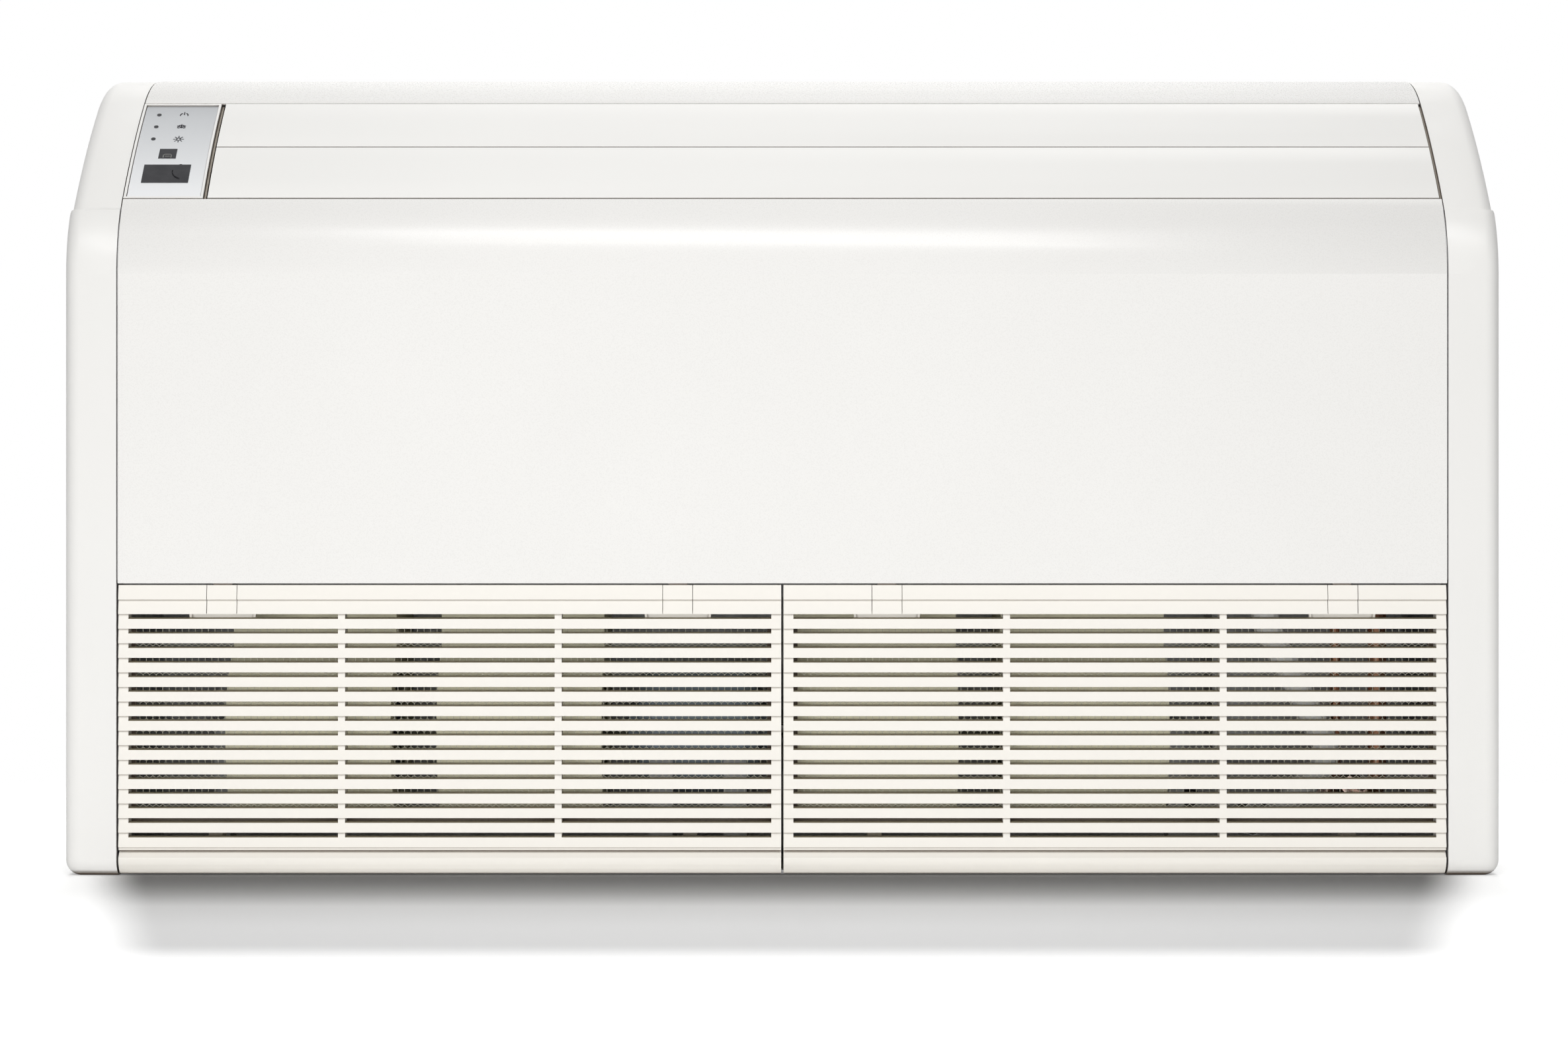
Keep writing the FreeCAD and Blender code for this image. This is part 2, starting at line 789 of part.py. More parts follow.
def louvre_motor():
    """The step motor that turns the louvres, held by two ears on a bracket from the cheek."""
    axis = drive_axis()
    face = link_left - pivot_gap - crank_wall - drive_shaft_length / 2
    centre = axis.z - step_motor_radius / 2
    body = rod_x(step_motor_radius, face - step_motor_length, face, axis.y, centre, drum)
    flange = box(face - step_motor_flange, face, axis.y - step_motor_ear / 2, axis.y + step_motor_ear / 2,
                 centre - step_motor_ear_width / 2, centre + step_motor_ear_width / 2)
    bracket_x = louvre_left - 2 * cheek_wall + seat_gap
    posts = []
    for side in (-1, 1):
        up = axis.y + side * (step_motor_ear / 2 - louvre_ear_radius / 2)
        posts.append(rod_x(louvre_ear_radius / 2, face, bracket_x, up, centre, peg))
    ends = (face - drive_shaft_length, face + overrun)
    bore = rod_x(louvre_pin_radius + running_gap, *ends, axis.y, axis.z, hole)
    return in_outlet(fuse([body, flange] + posts).cut(bore))


def vane_places():
    """The places of the guide vanes along the outlet."""
    pitch = (duct_right - duct_left) / vane_count
    return [duct_left + pitch * (index + 1 / 2) for index in range(vane_count)]


def guide_vane(x):
    """One upright guide vane with its two pivot pins and a notch with the tie rod's pin."""
    low = vane_end_gap
    high = outlet_chord - vane_end_gap
    front = -vane_front_setback
    back = front - vane_length
    rod_depth = -vane_pivot_setback - rod_arm
    middle = outlet_chord / 2
    half = vane_wall / 2
    plate = box(x - half, x + half, low, high, back, front)
    notch = box(x - overrun, x + overrun, middle - notch_height / 2, middle + notch_height / 2,
                back - overrun, back + notch_depth)
    plate = plate.cut(notch)
    pin_start = FreeCAD.Vector(x, low - vane_end_gap - duct_wall, -vane_pivot_setback)
    pin_length = high - low + 2 * (vane_end_gap + duct_wall)
    pins = rod(vane_pin_radius, pin_length, pin_start, Y_AXIS)
    rod_start = FreeCAD.Vector(x, middle - notch_height / 2, rod_depth)
    rod_pin = rod(rod_pin_radius, notch_height, rod_start, Y_AXIS)
    return in_outlet(fuse([plate, pins, rod_pin]))


def vane_rod():
    """The bar that ties the guide vanes together."""
    places = vane_places()
    rod_depth = -vane_pivot_setback - rod_arm
    middle = outlet_chord / 2
    half = rod_width / 2
    bar = box(places[0] - rod_width, places[-1] + rod_width, middle - rod_wall / 2, middle + rod_wall / 2,
              rod_depth - half, rod_depth + half)
    for index, x in enumerate(places):
        gap = running_gap if index == lead_vane else pivot_gap
        start = FreeCAD.Vector(x, middle - rod_wall, rod_depth)
        bar = bar.cut(rod(rod_pin_radius + gap, 2 * rod_wall, start, Y_AXIS))
    return in_outlet(bar)


def display_panel_box(inset, depth0, depth1):
    """A plate under the outlet's surface at the display, set in from the bezel's edge."""
    up0 = seam_gap + inset
    up1 = outlet_chord - seam_gap - inset
    return prism(outlet_strip(up0, up1, depth0, depth1), display_left + inset, display_right - inset)


def display_bezel():
    """The frame of the display, with a ledge that carries the silver plate."""
    frame = display_panel_box(0, 0, bezel_depth)
    frame = frame.cut(display_panel_box(bezel_rim, -overrun, bezel_depth - bezel_ledge / 2))
    frame = frame.cut(display_panel_box(bezel_rim + bezel_ledge, -overrun, bezel_depth + overrun))
    return in_outlet(frame)


def lens_outlines():
    """The cutters for the plate's windows, in the outlet's own plane, and a depth for all of them."""
    shapes = []
    windows = ((digit_window, digit_window_place), (receiver_window, receiver_window_place))
    for (width, height), (inset, up) in windows:
        x = -seam_x + inset
        shapes.append(box(x - width / 2, x + width / 2, up - height / 2, up + height / 2, -overrun, overrun))
    for up in indicator_heights:
        start = FreeCAD.Vector(-seam_x + indicator_inset, up, -overrun)
        shapes.append(drum(indicator_radius, 2 * overrun, start, Z_AXIS))
    return shapes


def display_plate():
    """The silver plate with shallow pockets for its lenses."""
    top = bezel_depth - bezel_ledge / 2 - plate_wall
    plate = display_panel_box(bezel_rim + seam_gap / 2, top, top + plate_wall)
    pocket = display_panel_box(bezel_rim, top - overrun, top + lens_pocket)
    for cutter in lens_outlines():
        plate = plate.cut(pocket.common(cutter))
    return in_outlet(plate)


def display_lenses():
    """The dark digit window, the receiver window and the three indicator dots, let into the plate."""
    top = bezel_depth - bezel_ledge / 2 - plate_wall
    layer = display_panel_box(bezel_rim, top + lens_pocket - lens_wall, top + lens_pocket)
    return Part.makeCompound([in_outlet(layer.common(cutter)) for cutter in lens_outlines()])


def display_board():
    """The circuit board that hangs under the bezel's ledge."""
    top = bezel_depth + seat_gap
    inset = bezel_rim
    board = display_panel_box(inset, top, top + board_wall)
    clear = box(crank_clear_x, 0, -overrun, outlet_chord + overrun, -duct_depth, duct_depth)
    return in_outlet(board.cut(clear))


def setback_point(setback, z):
    """A point of a side view, by how far it lies behind the front."""
    return side_point(front_y + setback, z)


def course_top(course):
    """The height of a grille course's upper edge, counted from the top."""
    return door_top - course * course_pitch


def clapboard(count, back):
    """The side view of overlapping grille courses, each with its nose out at the bottom."""
    points = []
    for course in range(count):
        points.append(setback_point(course_step, course_top(course)))
        points.append(setback_point(0, course_top(course + 1)))
    points.append(setback_point(back, course_top(count)))
    points.append(setback_point(back, door_top))
    return points


def slot_cutter(course, x0, x1):
    """The air slot at the top of a course, rising towards the back."""
    slope = slot_rise / door_skin
    top = course_top(course)
    low = top - slot_height
    ends = (-overrun, door_skin + overrun)
    points = [setback_point(end, low + slope * end) for end in ends]
    points += [setback_point(end, top + slope * end) for end in reversed(ends)]
    return polygon_prism(points, x0, x1)


def door_bays():
    """The left and right ends of the slotted bays of the right door."""
    clear = door_right - door_left - 2 * end_bar - (bay_count - 1) * mid_rib
    width = clear / bay_count
    starts = [door_left + end_bar + index * (width + mid_rib) for index in range(bay_count)]
    return [(start, start + width) for start in starts]


def skirt():
    """The hollow skirt under the courses, with a nose in front and a rounded foot."""
    shells = []
    for inset in (0, door_wall):
        radius = skirt_corner_radius - skirt_front_setback - inset
        centre_height = skirt_floor_gap + skirt_corner_radius - skirt_front_setback
        centre = setback_point(skirt_corner_radius, centre_height)
        foot = curve(*(centre + turned(lean, radius) for lean in (0, -45, -90)))
        top = course_bottom - inset
        nose = setback_point(skirt_front_setback + inset, course_bottom - skirt_nose_drop)
        rear = setback_point(skirt_corner_radius, foot.lastVertex().Point.z)
        crest = setback_point(skirt_ledge_depth - door_wall, top)
        back = setback_point(skirt_corner_radius, top)
        lines = outline([foot.lastVertex().Point, back, crest, nose, foot.firstVertex().Point])
        shells.append(prism([foot] + lines, door_left + inset, door_right - inset))
    open_back = box(door_left, door_right, front_y + skirt_corner_radius - door_wall, 0,
                    skirt_floor_gap + door_wall, course_bottom - door_wall)
    return shells[0].cut(shells[1]).cut(open_back)


def hinge_places():
    """The middles of the right door's hinges."""
    return [door_left + hinge_inset, door_right - hinge_inset]


def hinge_knuckles(x):
    """A hinge pad of the door, with a knuckle on each side of the fixed arm."""
    parts = []
    half = hinge_arm_width / 2 + seat_gap
    for x0, x1 in ((x - hinge_pad_width / 2, x - half), (x + half, x + hinge_pad_width / 2)):
        pad = box(x0, x1, front_y + door_skin, hinge_y, hinge_z, hinge_z + hinge_knuckle_radius)
        parts += [pad, rod_x(hinge_knuckle_radius, x0, x1, hinge_y, hinge_z, peg)]
    return parts


def latch_places():
    """The middles of the right door's latches."""
    return [door_left + latch_inset, door_right - latch_inset]


def pocket_cut(x, inset, setback0, setback1):
    """The tapered block behind a latch, narrower at the bottom."""
    top = door_top - door_wall
    low = course_top(solid_courses) - pocket_drop
    half_top = pocket_width_top / 2 - inset
    half_low = pocket_width_bottom / 2 - inset
    y = front_y + setback0
    corners = [(-half_low, low), (half_low, low), (half_top, top), (-half_top, top)]
    points = [FreeCAD.Vector(x + step, y, z) for step, z in corners]
    return flat_face(points).extrude(FreeCAD.Vector(0, setback1 - setback0, 0))


def latch_pocket(x):
    """The guide behind a latch: a tapered plate on two side walls."""
    block = pocket_cut(x, 0, door_skin, pocket_setback + latch_carrier_wall)
    room = pocket_cut(x, latch_carrier_wall, door_skin, pocket_setback)
    return block.cut(room)


def grille_door():
    """The right intake door: courses with slots, bars, ribs, a skirt, hinge knuckles and latch guides."""
    door = polygon_prism(clapboard(course_count, door_skin), door_left, door_right)
    bays = door_bays()
    courses = range(solid_courses, course_count)
    slots = [slot_cutter(course, x0, x1) for course in courses for x0, x1 in bays]
    door = door.cut(Part.makeCompound(slots))
    skin_y = front_y + door_skin
    depth_y = front_y + door_depth
    bars = [(door_left, door_left + end_bar), (door_right - end_bar, door_right)]
    bars += [(bays[index][1], bays[index + 1][0]) for index in range(bay_count - 1)]
    parts = [door]
    parts += [box(x0, x1, skin_y, depth_y, course_bottom, door_top) for x0, x1 in bars]
    parts.append(box(door_left, door_right, skin_y, depth_y, door_top - door_wall, door_top))
    parts.append(box(door_left, door_right, front_y + course_step, front_y + skirt_ledge_depth,
                     course_bottom - door_wall, course_bottom + door_wall))
    parts.append(skirt())
    for x in latch_places():
        parts.append(latch_pocket(x))
    for x in hinge_places():
        parts += hinge_knuckles(x)
    door = fuse(parts)
    for x in hinge_places():
        half = hinge_arm_width / 2 + seat_gap
        door = door.cut(rod_x(hinge_knuckle_radius + seat_gap, x - half, x + half, hinge_y, hinge_z, hole))
        half = hinge_pad_width / 2 + overrun
        door = door.cut(rod_x(hinge_pin_radius + running_gap, x - half, x + half, hinge_y, hinge_z))
    for x in latch_places():
        half = latch_width / 2 + latch_side_gap
        door = door.cut(box(x - half, x + half, front_y - overrun, skin_y,
                            course_top(solid_courses), door_top + overrun))
        half = latch_tongue_width / 2 + latch_side_gap
        door = door.cut(box(x - half, x + half, skin_y, front_y + pocket_setback,
                            door_top - door_wall - overrun, door_top + overrun))
    return door


def grille_latch(x):
    """One sliding latch: a piece of the two top courses, a carrier behind them and a tongue."""
    back = door_skin + seat_gap + latch_carrier_wall
    half = latch_width / 2
    face = polygon_prism(clapboard(solid_courses, back), x - half, x + half)
    face = face.cut(slot_cutter(solid_courses, x - latch_width, x + latch_width))
    y0 = front_y + door_skin + seat_gap
    y1 = front_y + back
    low = course_top(solid_courses) + slot_rise + latch_carrier_trim
    half = latch_carrier_width / 2
    carrier = box(x - half, x + half, y0, y1, low, door_top - door_wall - seat_gap)
    half = latch_tongue_width / 2
    tongue = box(x - half, x + half, y0, y1, low, panel_bottom + latch_catch)
    trim = box(x - latch_width, x - half, y0 - seat_gap, y1, door_top - door_wall - seat_gap, door_top)
    other = box(x + half, x + latch_width, y0 - seat_gap, y1, door_top - door_wall - seat_gap, door_top)
    return fuse([face, carrier, tongue]).cut(trim).cut(other)


def hinge_bracket(x):
    """One fixed hinge: a foot on the base, a post, an arm and the pin."""
    half = hinge_arm_width / 2
    post_y = front_y + hinge_post_setback
    foot = box(x - half, x + half, post_y, post_y + hinge_foot_length, floor_top, floor_top + hinge_arm_wall)
    post = box(x - half, x + half, post_y, post_y + hinge_arm_wall, floor_top, hinge_post_height)
    barrel = hinge_knuckle_radius
    arm = polygon_prism([
        side_point(hinge_y, hinge_z - hinge_pin_radius),
        side_point(hinge_y, hinge_z + hinge_pin_radius),
        side_point(post_y, hinge_post_height),
        side_point(post_y, hinge_post_height - 2 * hinge_arm_wall),
    ], x - half, x + half)
    pin_half = hinge_pad_width / 2
    pin = rod_x(hinge_pin_radius, x - pin_half, x + pin_half, hinge_y, hinge_z)
    return fuse([foot, post, arm, rod_x(barrel, x - half, x + half, hinge_y, hinge_z, peg), pin])


def filter_box(inset, setback0, setback1):
    """A flat block in the place of the right door's filter."""
    return box(door_left + filter_side_inset + inset, door_right - filter_side_inset - inset,
               front_y + setback0, front_y + setback1,
               filter_bottom + inset, door_top - filter_top_drop - inset)


def filter_frame():
    """The right filter's frame, with a bar behind each rib of the door."""
    front = door_depth + seat_gap
    back = front + filter_wall
    frame = filter_box(0, front, back).cut(filter_box(filter_bar, front - overrun, back + overrun))
    bays = door_bays()
    bars = [(bays[index][1], bays[index + 1][0]) for index in range(bay_count - 1)]
    low, high = filter_bottom + filter_bar / 2, door_top - filter_top_drop - filter_bar / 2
    ribs = [box(x0, x1, front_y + front, front_y + front + filter_wall / 2, low, high) for x0, x1 in bars]
    return fuse([frame] + ribs)


def filter_net():
    """The right filter's net, one thin sheet with a grid of gaps."""
    back = door_depth + seat_gap + filter_wall / 2 + seat_gap
    net = filter_box(filter_bar, back, back + net_wall)
    edges = net.BoundBox
    width = (edges.XLength - net_bar) / net_columns
    height = (edges.ZLength - net_bar) / net_rows
    gaps = []
    for column in range(net_columns):
        for row in range(net_rows):
            x = edges.XMin + net_bar + column * width
            z = edges.ZMin + net_bar + row * height
            gaps.append(box(x, x + width - net_bar, edges.YMin - overrun, edges.YMax + overrun,
                            z, z + height - net_bar))
    return net.cut(Part.makeCompound(gaps))


def scroll_places():
    """The middles of the four scroll housings, from left to right."""
    half = scroll_width / 2
    left = [scroll_left + half, scroll_left + half + scroll_pitch]
    right = [scroll_right - half - scroll_pitch, scroll_right - half]
    return left + right


def scroll_block(x, inset, top):
    """A scroll's block: a spiral of three growing arcs that opens upward."""
    radius = wheel_radius + wheel_gap + scroll_wall - inset
    axis = side_point(fan_axis_y, fan_axis_z)
    middle = axis + side_point(scroll_growth, 0)
    last = axis + side_point(scroll_growth, scroll_growth)
    tongue = 180 - scroll_tongue_angle
    front = curve(*(axis + turned(lean, radius) for lean in (tongue, tongue / 2, 0)))
    low = curve(*(middle + turned(lean, radius + scroll_growth) for lean in (0, -45, -90)))
    back = curve(*(last + turned(lean, radius + 2 * scroll_growth) for lean in (-90, -135, -180)))
    start, end = front.firstVertex().Point, back.lastVertex().Point
    top_line = outline([end, side_point(end.y, top), side_point(start.y, top), start])
    half = scroll_width / 2 - inset
    return prism([front, low, back] + top_line, x - half, x + half)


def scroll(x):
    """One scroll housing, a shell with a round inlet on each side and an open top."""
    shell = scroll_block(x, 0, deck_height).cut(scroll_block(x, scroll_wall, deck_height + overrun))
    inlet = rod_x(scroll_inlet_radius, x - scroll_width, x + scroll_width, fan_axis_y, fan_axis_z, drum)
    return shell.cut(inlet)


def wheel_bar(radius, length, start, axis):
    """A ring or disc of a wheel, with a corner at each blade."""
    return many_sided(wheel_blades, radius, length, start, axis)


def blower_wheel(x):
    """One blower wheel: two rings, a middle disc with a hub, and slanted blades."""
    half = scroll_width / 2 - scroll_wall - wheel_side_gap
    inner = wheel_radius - wheel_blade_depth
    axis = FreeCAD.Vector(x, fan_axis_y, fan_axis_z)
    parts = []
    for x0 in (x - half, x + half - wheel_ring):
        ring = rod_x(wheel_radius, x0, x0 + wheel_ring, fan_axis_y, fan_axis_z, wheel_bar)
        parts.append(ring.cut(rod_x(inner, x0 - overrun, x0 + overrun, fan_axis_y, fan_axis_z, wheel_bar)))
    disc = (x - wheel_disc / 2, x + wheel_disc / 2)
    parts.append(rod_x(wheel_radius - wheel_ring, *disc, fan_axis_y, fan_axis_z, wheel_bar))
    hub = (x - hub_length / 2, x + hub_length / 2)
    parts.append(rod_x(hub_radius, *hub, fan_axis_y, fan_axis_z, peg))
    for index in range(wheel_blades):
        blade = box(x - half, x + half, -wheel_blade_wall / 2, wheel_blade_wall / 2,
                    -wheel_blade_depth / 2, wheel_blade_depth / 2)
        blade.rotate(FreeCAD.Vector(0, 0, 0), X_AXIS, wheel_blade_angle)
        blade.translate(FreeCAD.Vector(0, fan_axis_y, fan_axis_z + wheel_radius - wheel_blade_depth / 2))
        blade.rotate(axis, X_AXIS, index * 360 / wheel_blades)
        parts.append(blade)
    wheel = fuse(parts)
    return wheel.cut(rod_x(shaft_radius, x - scroll_width, x + scroll_width, fan_axis_y, fan_axis_z, hole))


def fan_shaft():
    """The shaft that runs through the motor and carries the four wheels."""
    return rod_x(shaft_radius, shaft_left, shaft_right, fan_axis_y, fan_axis_z)


def motor_shoulder_cone(side):
    """The sloped shoulder at one end of the motor's drum."""
    half = motor_length / 2
    turn = FreeCAD.Rotation(Z_AXIS, X_AXIS)
    rings = []
    for along, radius in ((half - motor_shoulder, motor_radius), (half, motor_radius - motor_shoulder)):
        place = FreeCAD.Vector(motor_x + side * along, fan_axis_y, fan_axis_z)
        rings.append([place + turn.multVec(corner) for corner in ring_corners(drum_sides, radius)])
    return solid_from_rings(rings)


def fan_motor():
    """The double-shaft motor: a drum with sloped shoulders and a bearing nose at each end."""
    straight = motor_length / 2 - motor_shoulder
    nose = motor_length / 2 + motor_nose_length
    parts = [motor_shoulder_cone(side) for side in (-1, 1)]
    for reach, radius in ((straight, motor_radius), (nose, motor_nose_radius)):
        parts.append(rod_x(radius, motor_x - reach, motor_x + reach, fan_axis_y, fan_axis_z, drum))
    bore = rod_x(shaft_radius + running_gap, motor_x - motor_length, motor_x + motor_length,
                 fan_axis_y, fan_axis_z, hole)
    return fuse(parts).cut(bore)


def motor_cradle():
    """The bracket under the motor: a foot plate and two saddles."""
    top = fan_axis_z - cradle_drop
    half = cradle_spread / 2 + cradle_width / 2
    parts = [box(motor_x - half, motor_x + half, fan_axis_y - cradle_foot / 2, fan_axis_y + cradle_foot / 2,
                 floor_top, floor_top + cradle_wall)]
    for side in (-1, 1):
        x = motor_x + side * cradle_spread / 2
        parts.append(box(x - cradle_width / 2, x + cradle_width / 2, fan_axis_y - motor_radius,
                         fan_axis_y + motor_radius, floor_top, top))
    room = rod_x(motor_radius + seat_gap, motor_x - motor_length, motor_x + motor_length,
                 fan_axis_y, fan_axis_z, drum)
    return fuse(parts).cut(room)


def shaft_bearings():
    """The two pillow bearings at the shaft's ends, each on a foot on the base."""
    bearings = []
    for x0 in (shaft_left, shaft_right - bearing_width):
        x1 = x0 + bearing_width
        foot = box(x0, x1, fan_axis_y - bearing_foot / 2, fan_axis_y + bearing_foot / 2,
                   floor_top, floor_top + bearing_foot_wall)
        web = box(x0, x1, fan_axis_y - bearing_radius, fan_axis_y + bearing_radius, floor_top, fan_axis_z)
        ring = rod_x(bearing_radius, x0, x1, fan_axis_y, fan_axis_z, drum)
        bore = rod_x(shaft_radius + running_gap, x0 - overrun, x1 + overrun, fan_axis_y, fan_axis_z, hole)
        bearings.append(fuse([foot, web, ring]).cut(bore))
    return Part.makeCompound(bearings)


def fan_deck():
    """The sheet above the scrolls, open over each of them, with holes for the pipes and the hose."""
    front = front_y + deck_front_setback
    deck = box(-panel_half, panel_half, front, flange_face - seat_gap, deck_height, deck_height + sheet)
    lip = box(-panel_half, panel_half, front, front + sheet, deck_height - deck_lip, deck_height)
    deck = fuse([deck, lip])
    for x in scroll_places():
        room = scroll_block(x, scroll_wall, deck_height + overrun)
        deck = deck.cut(room)
    pipes = ((gas_pipe_x, gas_start.y, gas_pipe_radius), (liquid_pipe_x, liquid_start.y, tube_radius))
    for x, y, radius in pipes:
        start = FreeCAD.Vector(x, y, deck_height - overrun)
        deck = deck.cut(hole(radius + pipe_hole_gap, 2 * overrun, start, Z_AXIS))
    spout = FreeCAD.Vector(hose_x, hose_y, deck_height - overrun)
    return deck.cut(hole(hose_radius + seat_gap, 2 * overrun, spout, Z_AXIS))


def in_coil(shape):
    """A shape drawn flat, with Y up the coil and Z through it, set on the coil's slope."""
    placed = shape.copy()
    placed.rotate(FreeCAD.Vector(0, 0, 0), X_AXIS, coil_lean)
    placed.translate(coil_foot)
    return placed


def coil_fins():
    """The fin pack of the cooling coil."""
    half = coil_thickness / 2
    return in_coil(box(coil_left, coil_right, 0, coil_length, -half, half))


def coil_end_plates():
    """The two end plates of the coil, each with a foot in the drain pan and an ear to the back panel."""
    plates = []
    half = coil_thickness / 2
    for x in (coil_left - sheet, coil_right):
        slab = box(x, x + sheet, -tube_stub, coil_length + tube_stub, -half - tube_stub, half + tube_stub)
        foot = box(x, x + sheet, coil_foot.y - half, coil_foot.y + half,
                   pan_floor + seat_gap, coil_foot.z + half)
        ear = box(x, x + sheet, fan_axis_y + coil_thickness, wall_face, coil_top - coil_thickness, coil_top)
        plates.append(fuse([in_coil(slab), foot, ear]))
    return Part.makeCompound(plates)


def path_stations(points, bend):
    """Places and turns along straight runs with rounded corners, up to the last run's start."""
    base = FreeCAD.Rotation(Z_AXIS, points[1] - points[0])
    stations = [(points[0], base)]
    for before, corner, after in zip(points, points[1:], points[2:]):
        inward, outward = (corner - before).normalize(), (after - corner).normalize()
        angle = inward.getAngle(outward)
        start = corner - inward * (bend * math.tan(angle / 2))
        axis = inward.cross(outward)
        centre = start + axis.cross(inward).normalize() * bend
        for step in range(bend_steps + 1):
            turn = FreeCAD.Rotation(axis, math.degrees(angle) * step / bend_steps)
            stations.append((centre + turn.multVec(start - centre), turn.multiply(base)))
        base = stations[-1][1]
    return stations


def flat_sided_tube(stations, radius):
    """A solid bar with flat sides through the stations."""
    corners = ring_corners(pin_sides, radius)
    rings = [[place + turn.multVec(corner) for corner in corners] for place, turn in stations]
    return solid_from_rings(rings)


def tube(points, radius, bend):
    """A bar along a path with rounded corners, whose last run is truly round."""
    stations = path_stations(points, bend)
    body = flat_sided_tube(stations, radius)
    run = points[-1] - stations[-1][0]
    return fuse([body, rod(radius, run.Length, stations[-1][0], run)])


def coil_bends():
    """The copper return bends at the coil's right end."""
    bends = []
    half = tube_row_spacing / 2
    x = coil_right + sheet
    for row in range(tube_rows):
        up = tube_pitch * (row + 1 / 2)
        stations = []
        for step in range(2 * bend_steps + 1):
            turn = FreeCAD.Rotation(Y_AXIS, 180 * step / (2 * bend_steps))
            spot = FreeCAD.Vector(x, up, 0) + turn.multVec(Z_AXIS * half)
            stations.append((spot, turn.multiply(FreeCAD.Rotation(Z_AXIS, X_AXIS))))
        bends.append(in_coil(flat_sided_tube(stations, tube_radius)))
    return Part.makeCompound(bends)


def coil_pipe(start, x, radius):
    """A copper pipe from the coil's end, down past the fans and out at the back."""
    points = [
        start,
        FreeCAD.Vector(x, start.y, start.z),
        FreeCAD.Vector(x, start.y, pipe_exit_height),
        FreeCAD.Vector(x, back_y - pipe_end_gap, pipe_exit_height),
    ]
    return tube(points, radius, pipe_bend)


def drain_pan():
    """The tray that catches water under the coil."""
    front = front_y + pan_front_setback
    low = deck_height + sheet
    tray = box(pan_left, pan_right, front, front + pan_width, low, low + pan_height)
    room = box(pan_left + pan_wall, pan_right - pan_wall, front + pan_wall, front + pan_width - pan_wall,
               pan_floor, low + pan_height + overrun)
    tray = tray.cut(room)
    spout = FreeCAD.Vector(hose_x, hose_y, low - overrun)
    return tray.cut(peg(hose_radius - hose_wall, 2 * overrun, spout, Z_AXIS))


def drain_hose():
    """The drain hose, from the pan down to its outlet in the back panel."""
    points = [
        FreeCAD.Vector(hose_x, hose_y, deck_height + sheet),
        FreeCAD.Vector(hose_x, hose_y, deck_height - hose_drop),
        FreeCAD.Vector(hose_x + hose_swing, hose_y + hose_reach, box_bottom),
        FreeCAD.Vector(hose_exit_x, fan_axis_y + hose_reach, hose_exit_height),
        FreeCAD.Vector(hose_exit_x, back_y - pipe_end_gap, hose_exit_height),
    ]
    return tube(points, hose_radius, pipe_bend).cut(tube(points, hose_radius - hose_wall, pipe_bend))


def control_box():
    """The electrics box on the back panel, open to the front."""
    front = wall_face - box_depth
    shell = box(box_left, box_left + box_width, front, wall_face, box_bottom, box_bottom + box_height)
    room = box(box_left + box_wall, box_left + box_width - box_wall, front - overrun, wall_face - box_wall,
               box_bottom + box_wall, box_bottom + box_height - box_wall)
    return shell.cut(room)


def control_box_cover():
    """The lid in front of the electrics box, with a rim that plugs into it."""
    front = wall_face - box_depth
    lid = box(box_left, box_left + box_width, front - box_wall, front, box_bottom, box_bottom + box_height)
    inset = box_wall + seat_gap
    plug = box(box_left + inset, box_left + box_width - inset, front, front + overrun,
               box_bottom + inset, box_bottom + box_height - inset)
    hollow = inset + box_wall
    room = box(box_left + hollow, box_left + box_width - hollow, front, front + 2 * overrun,
               box_bottom + hollow, box_bottom + box_height - hollow)
    return fuse([lid, plug.cut(room)])


def cable_grommet():
    """The rubber ring that lines the cable's hole in the back panel."""
    place = (grommet_x, grommet_height)
    inner = rod_y(grommet_radius, wall_face - grommet_wall, wall_face, *place, drum)
    neck = rod_y(grommet_radius - grommet_groove, wall_face, wall_face + sheet, *place, drum)
    outer = rod_y(grommet_radius, wall_face + sheet, back_y, *place, drum)
    bore = rod_y(grommet_bore, wall_face - 2 * overrun, back_y + overrun, *place)
    return fuse([inner, neck, outer]).cut(bore)


